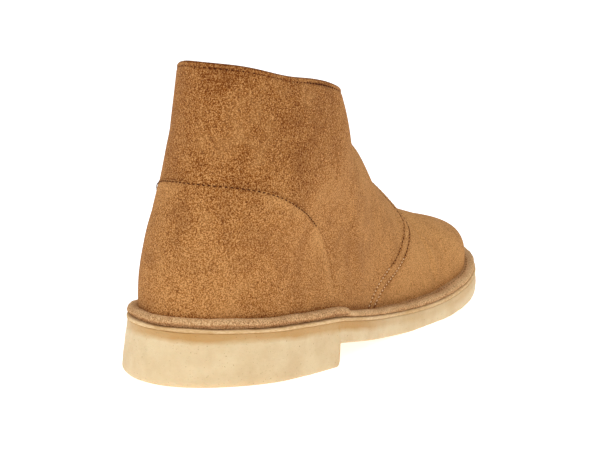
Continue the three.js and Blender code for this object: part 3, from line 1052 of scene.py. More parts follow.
def both_sides(last: Last, u: Array, z: Array, shut: Array, edge: Array | None = None) -> Patch:
    """The two sides of the upper's surface as one skin.

    Args:
        last: The last that gives the surface.
        u: Forward places, one row for each section.
        z: Heights.
        shut: Where the two sides meet.
        edge: Distance to the nearest edge, kept as the reading "edge".

    Returns:
        The welded skin.
    """
    patches = [surface_patch(last, u, z, side, shut) for side in Side]
    if edge is not None:
        for patch in patches:
            patch.readings["edge"] = np.ravel(edge)
    return patches[0].joined(patches[1]).welded()


@dataclass
class Upper:
    """Quarters, vamp, counter and tongue, with their creases."""

    last: Last
    wall: float = 2.4
    vamp_step: float = 1.0
    skirt: float = 1.6
    edge_round: float = 1.2
    lap: float = 7.0
    # degrees round the pivot where the fanned sections begin, and the strip ahead of them
    fan_from: float = 25.0
    front_band: float = 45.0
    section_counts: tuple[int, int] = (96, 38)
    columns: int = 84
    collar_inset: float = 2.4
    row_insets: tuple[float, float] = (1.9, 7.2)
    ridge_inset: float = 4.4
    near_top: float = 80.0
    far_top: float = 66.0
    pull: float = 0.3
    counter_lift: float = 0.8
    counter_under: float = 0.1
    tongue_half: float = 23.0
    tongue_taper: float = 0.86
    tongue_span: tuple[float, float] = (209.0, 171.0)
    tongue_top: tuple[float, float] = (119.2, 127.6)
    tongue_under: float = 2.7
    tongue_thick: float = 1.7

    def __post_init__(self) -> None:
        """Lays out the seams as dense lines in side view."""
        self.seam: Array = curve_points(self.last.quarter_front, 400)[:, 1:]
        self.counter_line: Array = curve_points(self.last.counter_seam, 400)[:, 1:]
        self.collar_line: Array = curve_points(self.last.collar, 300)[:, 1:]

    def creases(self, u: Array, z: Array, side: Array) -> Array:
        """Soft folds that wear leaves, as an offset in mm.

        Each fold is a bell over a line in side view, deep in its middle and fading to its ends.

        Args:
            u: Forward places.
            z: Heights.
            side: 1 on the lateral side, -1 on the medial side.

        Returns:
            Offsets, negative in a trough.
        """
        # side (0 for both), start u, start z, end u, end z, depth, half width
        folds = (
            (0, 219, 22, 217, 50, -0.85, 2.4),
            (0, 227, 24, 223, 46, -0.65, 2.6),
            (0, 223, 24, 220, 48, 0.40, 2.2),
            (0, 235, 26, 231, 42, -0.40, 3.0),
            (0, 213, 40, 222, 60, 0.35, 3.0),
            (0, 182, 36, 190, 62, -0.35, 5.0),
            (0, 160, 86, 176, 66, -0.45, 4.0),
            (0, 148, 90, 166, 66, 0.30, 4.0),
            (0, 120, 100, 146, 62, -0.50, 6.0),
            (0, 104, 66, 112, 40, -0.80, 7.0),
            (0, 118, 58, 124, 34, 0.45, 7.0),
            (0, 70, 128, 62, 100, -0.45, 6.0),
            (0, 92, 118, 84, 92, 0.35, 7.0),
            (0, 20, 112, 56, 108, -0.25, 5.0),
            (0, 16, 70, 40, 64, 0.30, 8.0),
        )
        total = np.zeros_like(u)
        for where, u0, z0, u1, z1, depth, width in folds:
            heading = np.array([u1 - u0, z1 - z0], float)
            length = float(np.hypot(*heading))
            heading /= length
            along = (u - u0) * heading[0] + (z - z0) * heading[1]
            away = (z - z0) * heading[0] - (u - u0) * heading[1]
            past = np.maximum(0, np.abs(along - length / 2) - length / 2)
            fold = depth * trough(away, width) * trough(past, width * 1.6)
            total += fold if where == 0 else fold * (side == where)
        wander = 0.22 * np.sin(u / 11.0 + side) * np.sin(z / 14.0 + 1.3 * side)
        return total + wander

    def folded(self, read: dict[str, Array]) -> Array:
        """The creases at a skin's points."""
        return self.creases(read["u"], read["z"], read["side"])

    def painted_shading_tones(self, u: Array, z: Array) -> Array:
        """How light (to 1) or dark (to -1) the suede is painted: partly how the nap lies, partly painted
        light and shade.

        Args:
            u: Forward places.
            z: Heights.

        Returns:
            The reading "tone".
        """
        behind = distance_to(self.seam[::4], u, z)
        # Lighter ahead of the seam and towards the front: partly the nap, partly painted light where the
        # front faces the lamps. Darker high on the back of the shaft.
        tone_and_painted_shading = 0.32 * smooth(-behind, -1, 5) + 0.15 + 0.20 * smooth(u, 70, 130)
        tone_and_painted_shading -= 0.26 * smooth(z, 70, 112) * smooth(-u, -112, -80)
        near, far = self.row_insets
        # Painted shade in the grooves of the two stitch rows behind the seam, and a painted highlight on the
        # strip between them.
        tone_and_painted_shading -= 0.85 * trough(behind - near, 0.7) * (z < self.near_top)
        tone_and_painted_shading -= 0.85 * trough(behind - far, 0.7) * (z < self.far_top)
        tone_and_painted_shading += 0.22 * trough(behind - self.ridge_inset, 1.3) * (z < self.far_top)
        # Painted shade in the groove where the wall meets the turned-out edge, weaker towards the toe, and in
        # the soft trough at the waist.
        tone_and_painted_shading -= (0.5 - 0.35 * smooth(u, 150, 230)) * trough(z - self.last.feather(u) - 1.0, 2.0)
        tone_and_painted_shading -= 0.16 * trough(u - 112, 12) * smooth(z, 120, 40)
        return tone_and_painted_shading

    def seam_curve(self, t: Array) -> tuple[Array, Array]:
        """The quarters' front edge from the ridge (0) to the feather (1).

        Args:
            t: Shares of its length.

        Returns:
            u, and the share of the way down the upright section.
        """
        u, z = self.seam.T
        ridge = self.last.ridge(u)
        down = (ridge - z) / (ridge - self.last.feather(u))
        inside = (down > 0) & (down < 1)
        u, down = u[inside][::-1], down[inside][::-1]
        down[0], down[-1] = 0.0, 1.0
        run = run_along(np.stack([u, self.last.height(u, down)], axis=1))
        share = run / run[-1]
        return np.interp(t, share, u), np.interp(t, share, down)

    def quarter_sections(self, t: Array) -> tuple[Array, Array, Array, Array]:
        """Sections of the quarters from the front seam, round the pivot and up to the collar.

        Args:
            t: One row of shares for all sections, or one row for each.

        Returns:
            u, z, distance behind the seam, and where the section ends on the back line (1) or feather (0).
        """
        last = self.last
        start = math.radians(self.fan_from)
        near = np.concatenate([[0, 0.15, 0.4, 0.8, 1.3, 1.9], np.linspace(2.6, self.front_band, 34)])[:, None]
        count = (len(near), *self.section_counts)
        parts = np.split(np.broadcast_to(t, (sum(count), t.shape[-1])), np.cumsum(count)[:-1])
        share = near / self.front_band
        seam_u, seam_down = self.seam_curve(parts[0])
        fan_u, fan_z = last.radial_line(np.full_like(share, start), parts[0])
        fan_down = (last.ridge(fan_u) - fan_z) / (last.ridge(fan_u) - last.feather(fan_u))
        u0 = seam_u + (fan_u - seam_u) * share
        down = seam_down + (fan_down - seam_down) * share
        z0 = last.height(u0, down)
        angles = np.linspace(start, math.pi / 2, count[1] + 1)[1:, None]
        u1, z1 = last.radial_line(angles, parts[1])
        rise = 1 - np.linspace(1, 0, count[2] + 1)[1:, None] ** 1.5
        u2, z2 = last.collar_line(rise, parts[2])
        behind = np.concatenate([near + 0 * u0, np.full_like(u1, FAR), np.full_like(u2, FAR)])
        ends = np.concatenate([0 * near, angles > last.corner_angle, 0 * rise + 1])
        return np.concatenate([u0, u1, u2]), np.concatenate([z0, z1, z2]), behind, ends

    def opened(self, sections: Sections, width: Callable[[Array, Array], Array]) -> Array:
        """Share along each section at which its half width first reaches a given one, by halving.

        Args:
            sections: Function from shares to u, z and more.
            width: Function from the section's ridge place (u, z) to the half width.

        Returns:
            One share for each section, as a column.
        """
        u, z = sections(np.array([[0.0]]))[:2]
        goal = width(u, z)
        low, high = np.zeros_like(u), np.full_like(u, 0.5)
        for _ in range(26):
            middle = (low + high) / 2
            u, z = sections(middle)[:2]
            small = self.last.skin(u, z)[1] < goal
            low, high = np.where(small, middle, low), np.where(small, high, middle)
        return (low + high) / 2

    def edge_offsets(self, edge: Array, wall: float) -> tuple[Array, Array]:
        """Outer and inner offsets of a wall whose edges are rounded over.

        Args:
            edge: Distance to the nearest edge.
            wall: Thickness.

        Returns:
            Offsets: the faces run together to the wall's middle at the edge.
        """
        shut = 1 - rounding(edge, self.edge_round, 2.0)
        return -wall / 2 * shut, -wall + wall / 2 * shut

    def quarters(self) -> Patch:
        """Both quarters as one wall, open at the throat, over the vamp at the front.

        Returns:
            The closed wall.
        """
        last = self.last
        opening = self.opened(self.quarter_sections, last.slot_half)
        spread = (1 - np.cos(np.linspace(0, math.pi, self.columns))) / 2
        u, z, behind, ends = self.quarter_sections(opening + (1 - opening) * spread)
        foot = np.where(ends > 0, 0.0, self.skirt)
        u = np.concatenate([u, u[:, -1:]], axis=1)
        z = np.concatenate([z, z[:, -1:] - foot], axis=1)
        behind = np.concatenate([behind, behind[:, -1:]], axis=1)
        shut = np.zeros_like(u, bool)
        shut[:, -2:] = ends > 0
        slot = last.skin(u, z)[1] - last.slot_half(u[:, :1], z[:, :1])
        top = np.where(z > last.pivot[1] - 0.01, last.collar_at(u) - z, FAR)
        edge = np.minimum(np.minimum(np.abs(behind), top), np.where(u > 100, np.maximum(slot, 0), FAR))
        skin = both_sides(last, u, z, shut, edge)
        read = skin.readings
        outer, inner = self.edge_offsets(read["edge"], self.wall)
        row, shaft = read["edge"] - self.collar_inset, read["z"] > last.pivot[1]
        behind = distance_to(self.seam[::4], read["u"], read["z"])
        near, far = (behind - inset for inset in self.row_insets)
        pulled = trough(row, 0.7) * shaft + trough(near, 0.7) + trough(far, 0.8) * (read["z"] < self.far_top)
        # Painted shade along the wall's rounded edges and in the groove of the collar stitching.
        read["tone_and_painted_shading"] = self.painted_shading_tones(read["u"], read["z"]) - 0.5 * (1 - smooth(read["edge"], 0.3, 1.1))
        read["tone_and_painted_shading"] -= 0.35 * trough(row, 0.5) * shaft
        return skin.shell(outer - self.pull * pulled, inner, self.folded(read))

    def vamp(self) -> Patch:
        """The vamp from under the quarters to the toe.

        Sections run from the seam, moved back by the lap, to the toe: u goes straight from one to the
        other, and the share down the section changes evenly with it.

        Returns:
            The closed wall.
        """
        last = self.last
        t = (1 - np.cos(np.linspace(0, math.pi / 2, 60)))[None]
        w = np.sin(np.linspace(0, math.pi / 2, 120))[:, None]
        seam_u, seam_down = self.seam_curve(t)
        u = (seam_u - self.lap) * (1 - w) + last.wall_toe * w
        down = seam_down * (1 - w) + t * w
        z = last.height(u, down)
        u = np.concatenate([u, u[:, -1:]], axis=1)
        z = np.concatenate([z, z[:, -1:] - self.skirt], axis=1)
        shut = np.zeros_like(u, bool)
        shut[:, 0] = True
        shut[-1] = True
        skin = both_sides(last, u, z, shut)
        skin.quads = skin.quads[:, ::-1]
        skin.readings["tone_and_painted_shading"] = self.painted_shading_tones(skin.readings["u"], skin.readings["z"])
        return skin.shell(-self.vamp_step, -self.wall, self.folded(skin.readings))

    def counter(self) -> Patch:
        """The heel counter: rows parallel to the feather, from the back line to the seam.

        Returns:
            The closed wall, its top edge rounded over.
        """
        last = self.last
        line = self.counter_line
        height = line[:, 1] - last.feather(line[:, 0])
        inside = (height > 0) & (line[:, 0] > last.back(line[:, 1]))
        line, height = line[inside], height[inside]
        run = run_along(line)
        at = np.linspace(0, run[-1], 130)
        end_u, end_h = np.interp(at, run, line[:, 0])[:, None], np.interp(at, run, height)[:, None]
        spread = 1 - np.cos(np.linspace(0, math.pi / 2, 62))
        spread = np.sort(np.concatenate([spread, [0.985, 0.99, 0.994, 0.997]]))[None]
        start = last.back(end_h + last.feather(0.0))
        u = start + (end_u - start) * spread
        z = last.feather(u) + end_h
        behind = last.back(z)
        u = np.maximum(u, behind)
        u[:, 0] = behind[:, 0]
        u = np.concatenate([u, u[-1:]], axis=0)
        z = np.concatenate([z, z[-1:] - self.skirt], axis=0)
        shut = np.zeros_like(u, bool)
        shut[:, 0] = True
        skin = both_sides(last, u, z, shut, np.abs(distance_to(self.counter_line, u, z)))
        skin.quads = skin.quads[:, ::-1]
        read = skin.readings
        edge = read["edge"]
        lift = self.counter_under + self.counter_lift * rounding(edge, 1.3, 2.0)
        lift -= 0.25 * trough(edge - 1.5, 0.6)
        # A little lighter overall, with a painted highlight on the rolled step inside the counter's edge and
        # painted shade at the edge itself.
        read["tone_and_painted_shading"] = self.painted_shading_tones(read["u"], read["z"]) + 0.12
        read["tone_and_painted_shading"] += 0.22 * trough(edge - 3.5, 2.2) - 0.5 * trough(edge - 0.3, 0.5)
        return skin.shell(lift, self.counter_under / 2, self.folded(read))

    def tongue(self) -> Patch:
        """The tongue: a strip under the throat, its half width read across the section.

        Returns:
            The closed wall.
        """
        last = self.last

        def sections(t: Array) -> tuple[Array, Array]:
            """Upright, fanned and level sections under the throat.

            Args:
                t: One row of shares for all sections, or one row for each.

            Returns:
                u and z of the sections.
            """
            count = (14, 50, 8)
            wide = np.broadcast_to(t, (sum(count), t.shape[-1]))
            parts = np.split(wide, np.cumsum(count)[:-1])
            front = last.upright_line(np.linspace(*self.tongue_span, count[0])[:, None], parts[0])
            turn = last.radial_line(np.linspace(0.01, math.pi / 2, count[1])[:, None], parts[1])
            height = np.linspace(*self.tongue_top, count[2])[:, None]
            ends = last.front_at(height), last.back(height)
            top = ends[0] + (ends[1] - ends[0]) * parts[2], height + 0 * parts[2]
            return tuple(np.concatenate(pair) for pair in zip(front, turn, top))

        widths = np.sin(np.linspace(0, math.pi / 2, 22))
        taper = np.concatenate([np.full(60, 1.0), np.linspace(1, self.tongue_taper, 12) ** 2])[:, None]
        halves = self.tongue_half * widths
        shares = [self.opened(sections, lambda u, z, half=half: half * taper + 0 * u) for half in halves[1:]]
        shares = np.concatenate([np.zeros_like(shares[0])] + shares, axis=1)
        u, z = sections(shares)
        shut = np.zeros_like(u, bool)
        shut[:, 0] = True
        skin = both_sides(last, u, z, shut)
        skin.readings["tone_and_painted_shading"] = np.full(len(skin.points), -0.05)
        return skin.shell(-self.tongue_under, -self.tongue_under - self.tongue_thick)

    def build(self) -> None:
        """Makes and dresses the pieces."""
        quarters = self.quarters().piece("quarters", SUEDE, "suede")
        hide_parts("upper")
        self.vamp().piece("vamp", SUEDE, "suede")
        counter = self.counter().piece("counter", SUEDE, "suede")
        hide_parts("heel_counter")
        tongue = self.tongue().piece("tongue_suede", SUEDE, "suede")
        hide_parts("tongue")


# ---- the sole --------------------------------------------------------------------------------------------


@dataclass
class Bottom:
    """Turned-out edge, midsole, crepe and heel, each carried round the sole's outline."""

    sole: Sole
    crepe_overhang: float = 0.4
    corner: float = 2.4
    back_corner: float = 1.2
    rough: float = 0.13
    counter_ends: float = 98.0
    tuck: float = 1.2

    def ring(self, grow: Array | float, height: Array | float, base: Reading, stations: Array) -> Array:
        """The outline moved outwards, at a height over a base that follows u.

        Args:
            grow: Outward distance.
            height: Height over the base.
            base: Function from u to z, read where the outline was before it moved.
            stations: Forward places of the outline's points.

        Returns:
            Points (x, u, z).
        """
        points, normals = self.sole.path(stations)
        moved = points + normals * np.reshape(np.broadcast_to(grow, len(points)), (-1, 1))
        return np.column_stack([moved, base(points[:, 1]) + height])

    def midsole_slab(self) -> Patch:
        """Thin pale strip with slightly rounded, hand-cut edges that follow the heel's lean.

        Returns:
            The plate, with the reading "below", its depth under the deck.
        """
        low = -self.sole.midsole
        middle = low / 2
        stations = SOLE_LENGTH * (1 - np.cos(np.linspace(0, math.pi, 180))) / 2
        points = self.sole.path(stations)[0]
        lean = self.sole.flare(points[:, 1])
        x, u = points.T
        uneven = 0.16 * np.sin(u / 7.0 + 1.0) * np.sin(x / 5.0) + 0.08 * np.sin(u / 2.3)
        # outward distance, height over the deck, from the underside up
        profile = (
            (-20, low), (-0.5, low), (-0.1, low + 0.1), (0.14, low + 0.4), (0.18, middle), (0.14, -0.4),
            (-0.05, -0.1), (-0.5, 0.0), (-20, 0.0),
        )
        rings = []
        for grow, height in profile:
            edge = uneven * (grow > -1)
            rise = height + edge * (height > -1)
            rings.append(self.ring(grow - lean + 0.4 * edge, rise, self.sole.deck, stations))
        return ring_stack(rings, {"below": [self.sole.deck(ring[:, 1]) - ring[:, 2] for ring in rings]})

    def roughness(self, patch: Patch, depth: float) -> Patch:
        """Small hand-cut unevenness of the crepe's side, as sums of waves along and up it.

        Args:
            patch: The crepe.
            depth: Height of the waves in mm.

        Returns:
            The same crepe, its side moved along its normals.
        """
        x, u, z = patch.points.T
        wave = np.sin(u / 5.1 + z / 2.3) * np.sin(x / 4.3 - z / 3.1) + 0.6 * np.sin(u / 1.9 + x / 2.2)
        normals = point_normals(patch.points, patch.quads)
        side = (np.abs(normals[:, 2]) < 0.9) & (patch.readings["below"] > 3.2)
        patch.points += normals * (wave * depth * side)[:, None]
        return patch

    def breast_step(self, u: Array) -> Array:
        """Underside of the whole sole: the floor behind the breast, then a steep step up to the forepart.

        Args:
            u: Forward places.

        Returns:
            Heights in mm.
        """
        breast = self.sole.heel_breast
        places = np.array([-1.5, -0.9, -0.4, -0.1]) + breast
        corner = np.interp(u, places, [0.0, 0.25, 0.8, 1.6])
        return np.where(u > breast + 0.2, self.sole.bottom(u), corner)

    def crepe_body(self) -> Patch:
        """Sole and heel in crepe: a rounded lower edge, a side that leans in over the heel, a flat top.

        Rings run from the underside up. Both sides have the same stations, so the strips across the
        underside turn into the heel's front face where the underside steps up.

        Returns:
            The closed body, with the reading "below", its depth under the deck.
        """
        breast = self.sole.heel_breast
        stations = SOLE_LENGTH * (1 - np.cos(np.linspace(0, math.pi, 170))) / 2
        stations = stations[np.abs(stations - breast) > 2.5]
        close = breast + np.array([-2.2, -1.5, -0.9, -0.4, -0.1, 0.3, 0.9, 2.0])
        stations = np.sort(np.concatenate([stations, close]))
        forward = self.sole.path(stations)[0][:, 1]
        lean = self.sole.flare(forward)
        over = self.crepe_overhang * smooth(forward, 60, 140)
        corner = self.back_corner + (self.corner - self.back_corner) * (1 - smooth(forward, 20, 70))
        rings = [self.ring(grow, 0.0, self.breast_step, stations) for grow in (-16.0, -6.0)]
        for turn in np.linspace(0, math.pi / 2, 6):
            grow = over - corner * (1 - math.sin(turn))
            rings.append(self.ring(grow, corner * (1 - math.cos(turn)), self.breast_step, stations))
        foot = rings[-1]
        top = -self.sole.midsole
        head = self.ring(over - 0.25 - lean, top - 0.4, self.sole.deck, stations)
        for share in np.linspace(0, 1, 12)[1:]:
            ring = foot + (head - foot) * share
            ring[:, :2] += self.sole.path(stations)[1] * (0.2 * math.sin(math.pi * share))
            rings.append(ring)
        for grow, rise in ((over - 0.4, top - 0.06), (over - 0.9, top + 0.02), (-16.0, top + 0.02)):
            rings.append(self.ring(grow - lean, rise, self.sole.deck, stations))
        below = [self.sole.deck(ring[:, 1]) - ring[:, 2] for ring in rings]
        amber = [1 - 0.5 * smooth(ring[:, 1], 105, 150) - 0.35 * smooth(-ring[:, 0], 5, 40) for ring in rings]
        return self.roughness(ring_stack(rings, {"below": below, "amber": amber}), self.rough)

    def flange(self) -> Patch:
        """The upper's edge turned out and sewn down: a rolled strip carried round the outline.

        Returns:
            The closed roll, its inner edge hidden under the wall.
        """
        # outward distance, height over the deck, round the section anticlockwise
        section = (
            (-9.0, 0.2), (-4.0, 0.1), (-1.2, 0.12), (-0.6, 0.5), (-0.35, 1.2), (-0.45, 2.0), (-0.9, 2.75),
            (-1.9, 3.1), (-3.1, 3.1), (-4.2, 2.8), (-5.1, 2.5), (-7.0, 2.5), (-9.0, 2.6),
        )
        return self.roll(section, self.sole.path(), closed=True, tuck=self.tuck)

    def counter_flange(self) -> Patch:
        """The counter's own edge, turned out over the upper's as far as its seam.

        Returns:
            The closed roll, thinned to its ends.
        """
        section = (
            (-9.0, 2.2), (-4.0, 2.0), (-1.6, 1.4), (-0.6, 1.25), (-0.1, 1.7), (0.0, 2.5), (-0.2, 3.4),
            (-0.9, 4.3), (-2.0, 4.75), (-3.4, 4.7), (-4.6, 4.2), (-7.2, 4.1), (-9.0, 4.2),
        )
        points, normals = self.sole.path()
        half_size = len(points) // 2
        forward = np.flatnonzero(points[: half_size + 1, 1] < self.counter_ends)[-1]
        behind = np.flatnonzero(points[half_size:, 1] < self.counter_ends)[0] + half_size
        order = np.concatenate([np.arange(behind, len(points)), np.arange(0, forward + 1)])
        return self.roll(section, (points[order], normals[order]), closed=False, tuck=0.0)

    def roll(self, section: Table, path: tuple[Array, Array], closed: bool, tuck: float) -> Patch:
        """Carries a closed section along a path in plan.

        Args:
            section: Rows of (outward distance, height over the deck), round the section.
            path: Points and normals in plan.
            closed: Whether the path closes on itself.
            tuck: How much further in it lies behind, under the counter's.

        Returns:
            The closed surface, with the reading "tone".
        """
        rows = np.asarray(section, float)
        count = len(path[0])
        if not closed:
            fade = rounding(np.minimum(np.arange(count), np.arange(count)[::-1]) * 2.2, 5.0, 2.0)
            middle = np.array([-4.5, 2.6])
        rings = []
        for grow, height in rows:
            g, h = np.full(count, grow), np.full(count, height)
            if not closed:
                g = middle[0] + (g - middle[0]) * (0.25 + 0.75 * fade)
                h = middle[1] + (h - middle[1]) * fade
            x, u = path[0].T
            uneven = np.sin(u / 3.1 + x / 6.0) * np.sin(x / 2.7 + 0.6) + 0.6 * np.sin(u / 1.3 - x / 1.7)
            shift = g - self.sole.flare(u) - tuck * (1 - smooth(u, 88, 102)) + 0.16 * uneven * (grow > -3)
            moved = path[0] + path[1] * shift[:, None]
            wave = 0.14 * np.sin(u / 6.0) + 0.12 * np.sin(x / 4.3 + 1.0) + 0.10 * uneven
            rings.append(np.column_stack([moved, self.sole.deck(moved[:, 1]) + h + wave * (height > 1)]))
        points = np.stack(rings, axis=1)
        points = np.concatenate([points, points[:1]]) if closed else points
        quads = grid_faces(points.shape[0], points.shape[1], closed=True)
        flat = points.reshape(-1, 3)
        if not closed:
            size = points.shape[1]
            i = np.arange(size // 2)
            cap = np.stack([i, i + 1, size - 2 - i, size - 1 - i], axis=1)
            quads = np.concatenate([quads, cap[:, ::-1], cap + (points.shape[0] - 1) * size])
        grow, height = (np.tile(rows[:, k], points.shape[0]) for k in (0, 1))
        top = float(rows[:, 1].max())
        # Painted highlight along the roll's top and painted shade in the crease where it meets the wall;
        # lighter towards the toe.
        tone_and_painted_shading = 0.1 + 0.3 * smooth(height, top - 1.8, top) - 0.9 * trough(grow + 6.2, 1.1)
        tone_and_painted_shading += 0.3 * smooth(flat[:, 1], 200, 280)
        # Painted shade on the low part behind u 104, where it lies under the counter's edge; lighter where
        # the counter's edge ends.
        tone_and_painted_shading -= 0.9 * (1 - smooth(height, top - 3.4, top - 2.4)) * (flat[:, 1] < 104)
        tone_and_painted_shading += 0.5 * trough(flat[:, 1] - 100.5, 3.0)
        patch = Patch(flat, quads, {"tone_and_painted_shading": tone_and_painted_shading})
        if point_normals(flat, quads)[4, :2] @ path[1][0] < 0:
            patch.quads = patch.quads[:, ::-1]
        return patch.welded(0.002)

    def build(self) -> None:
        """Makes and dresses the pieces."""
        self.flange().piece("turned_edge", SUEDE_EDGE, "suede")
        self.counter_flange().piece("counter_edge", SUEDE_EDGE, "suede")
        midsole = self.midsole_slab().piece("midsole_strip", MIDSOLE, "midsole_leather")
        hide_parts("midsole")
        body = self.crepe_body().piece("crepe_sole_and_heel", CREPE, "crepe")
        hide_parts("outsole", "heel")


# ---- stitches, eyelets and lace ----------------------------------------------------------------------


@dataclass
class Row:
    """A row of stitches along a path on the surface."""

    path: Array
    aside: Array
    pitch: float = 2.6
    length: float = 1.8
    radius: float = 0.32
    sunk: float = 0.08

    def stations(self) -> tuple[Array, Array, Array]:
        """Middle, heading and outward normal of each stitch.

        Returns:
            Three arrays of rows (x, u, z).
        """
        run = run_along(self.path)
        at = np.arange(self.pitch / 2, run[-1], self.pitch)

        def read(rows: Array, where: Array) -> Array:
            """Straight reading along the path."""
            return np.stack([np.interp(where, run, rows[:, k]) for k in range(3)], axis=1)

        middle = read(self.path, at)
        heading = unit(read(self.path, at + 0.6) - read(self.path, at - 0.6))
        normal = unit(np.cross(heading, read(self.aside, at) - middle))
        return middle, heading, normal

    def turned(self, inwards: bool) -> "Row":
        """The same row run the other way where its normals point inwards."""
        return replace(self, path=self.path[::-1], aside=self.aside[::-1]) if inwards else self

    def mesh(self) -> Patch:
        """Every stitch as a short capsule lying in the surface.

        A capsule is a circle of six points carried along a line, its radius a half sine of the way along.

        Returns:
            All the stitches of the row as one surface.
        """
        middle, heading, normal = self.stations()
        side = np.cross(heading, normal)
        along = np.linspace(-1, 1, 6)
        swell = self.radius * np.sqrt(np.clip(1 - along**2, 0.02, 1))
        turn = np.linspace(0, 2 * math.pi, 6, endpoint=False)
        a, s = along[:, None, None] * self.length / 2, swell[:, None, None]
        dip = -0.25 * (along[:, None, None] ** 2)
        local = a * 0 + np.cos(turn)[None, :, None] * s
        up = np.sin(turn)[None, :, None] * s + dip - self.sunk
        grid = (
            middle[:, None, None]
            + heading[:, None, None] * a
            + side[:, None, None] * local
            + normal[:, None, None] * up
        )
        count, rows, columns = grid.shape[:3]
        faces = grid_faces(rows, columns, closed=True)
        ends = np.array([[0, 1, 2, 3], [0, 3, 4, 5]])
        faces = np.concatenate([faces[:, ::-1], ends, ends[:, ::-1] + (rows - 1) * columns])
        quads = (faces[None] + (np.arange(count) * rows * columns)[:, None, None]).reshape(-1, 4)
        return Patch(grid.reshape(-1, 3), quads)


@dataclass
class Trim:
    """Stitching, punched eyelets and the lace bars."""

    last: Last
    upper: Upper
    bottom: Bottom
    lace_radius: float = 1.3
    eyelets: tuple[float, float] = (158.0, 131.0)
    across: float = 15.5
    # x and u well inside the boot, which outward normals point away from
    core: tuple[float, float] = (2.0, 110.0)

    def on_skin(self, u: Array, z: Array, side: Array, offset: Array | float = 0.0) -> Array:
        """Points on the surface, moved out along an approximate normal.

        Args:
            u: Forward places.
            z: Heights.
            side: Sign of x for each.
            offset: Outward distance.

        Returns:
            Rows of (x, u, z).
        """
        last = self.last
        step = 0.4

        def x(at_u: Array, at_z: Array) -> Array:
            """Sideways place."""
            centre, half = last.skin(at_u, at_z)
            return centre + side * half

        slope_u = (x(u + step, z) - x(np.maximum(u - step, last.back(z)), z)) / (2 * step)
        slope_z = (x(u, z + step) - x(u, z - step)) / (2 * step)
        normal = unit(np.stack([np.ones_like(u), -slope_u, -slope_z], axis=-1)) * np.reshape(side, (-1, 1))
        return np.stack([x(u, z), u, z], axis=-1) + normal * np.reshape(offset, (-1, 1))

    def round_the_back(self, line: Array, drop: float, front: float, offset: float) -> tuple[Array, Array]:
        """A line parallel to an edge from the lateral front, round the back, to the medial front.

        Args:
            line: Dense (u, z) of the edge.
            drop: Distance under it.
            front: How far forward it goes.
            offset: Outward distance.

        Returns:
            The path, and the same path 1 mm higher.
        """
        last = self.last
        order = np.argsort(line[:, 0])
        rows = line[order]
        share = np.linspace(0, 1, 160)
        made = []
        for rise in (0.0, 1.0):
            back = 12.0
            for _ in range(12):
                back = float(last.back(np.interp(back, rows[:, 0], rows[:, 1]) - drop + rise))
            u = back + (front - back) * (1 - np.cos(share * math.pi / 2))
            u = np.maximum(u, back)
            z = np.interp(u, rows[:, 0], rows[:, 1]) - drop + rise
            centre, half = last.skin(u, z)
            half[0] = 0
            lateral = np.stack([centre + half, u, z], axis=1)[::-1]
            medial = np.stack([centre - half, u, z], axis=1)[1:]
            made.append(np.concatenate([lateral, medial]))
        path, aside = made
        heading = np.gradient(path, axis=0)
        normal = unit(np.cross(heading, aside - path))
        flip = np.sign(np.sum(normal * (path - np.array([6.0, 60.0, 0.0])) * np.array([1, 1, 0]), axis=1))
        normal = normal * flip[:, None]
        return path + normal * offset, aside + normal * offset

    def seam_rows(self, inset: float, low: float, high: float) -> list[Row]:
        """Rows behind the quarters' front edge, one on each side.

        Args:
            inset: Distance behind the edge.
            low: Lowest height.
            high: Greatest height.

        Returns:
            Two rows.
        """
        line = self.upper.seam
        moved = beside(line, inset)
        keep = (moved[:, 1] > low) & (moved[:, 1] < high) & (moved[:, 1] > self.last.feather(moved[:, 0]) + 1)
        keep &= moved[:, 1] < self.last.ridge(moved[:, 0]) - 0.8
        u, z = moved[keep].T
        ahead = line[keep]
        rows = []
        for side in Side:
            signs = np.full(len(u), side.value)
            crease = self.upper.creases(u, z, signs)
            path = self.on_skin(u, z, signs, crease - 0.1)
            aside = self.on_skin(ahead[:, 0], ahead[:, 1], signs, crease - 0.1)
            rows.append(Row(path, aside, pitch=2.7, length=1.5, radius=0.3))
        return rows

    def oriented(self, row: Row) -> Row:
        """Swaps the row's direction where its normals point inwards."""
        middle, _, normal = row.stations()
        return row.turned(np.sum(normal[:, :2] * (middle[:, :2] - np.array(self.core))) < 0)

    def gathered(self, rows: list[Row]) -> Patch:
        """Several rows as one surface."""
        return reduce(Patch.joined, [self.oriented(row).mesh() for row in rows])

    def collar_row(self) -> Row:
        """Stitches just under the collar's edge."""
        path, aside = self.round_the_back(self.upper.collar_line, 2.5, 108.0, -0.22)
        return Row(path, aside, length=1.7, radius=0.34)

    def counter_row(self) -> Row:
        """Stitches just inside the counter's edge, as far as it stays nearly level.

        Returns:
            The row.
        """
        inner = beside(self.upper.counter_line, -1.4)
        path, aside = self.round_the_back(inner[inner[:, 0] < 72], 0.0, 66.0, 0.62)
        return Row(path, aside, length=1.7, radius=0.27)

    def welt_rows(self) -> list[Row]:
        """Stitches along the turned-out edge, ahead of the counter's and on it.

        Returns:
            Two rows.
        """
        points, normals = self.bottom.sole.path()
        rows = []
        for forward, inset, height in ((True, -4.3, 2.75), (False, -4.4, 4.25)):
            keep = points[:, 1] > 100 if forward else points[:, 1] < 94
            index = np.flatnonzero(keep)
            if not forward:
                split = np.argmax(np.diff(index)) + 1
                index = np.concatenate([index[split:], index[:split]])
            made = []
            for extra in (0.0, 1.0):
                lean = self.bottom.sole.flare(points[index, 1])[:, None]
                moved = points[index] + normals[index] * (inset + extra - lean)
                made.append(np.column_stack([moved, self.bottom.sole.deck(moved[:, 1]) + height]))
            row = Row(made[0], made[1], pitch=3.4, length=2.6, radius=0.4)
            rows.append(row.turned(row.stations()[2][:, 2].mean() < 0))
        return rows

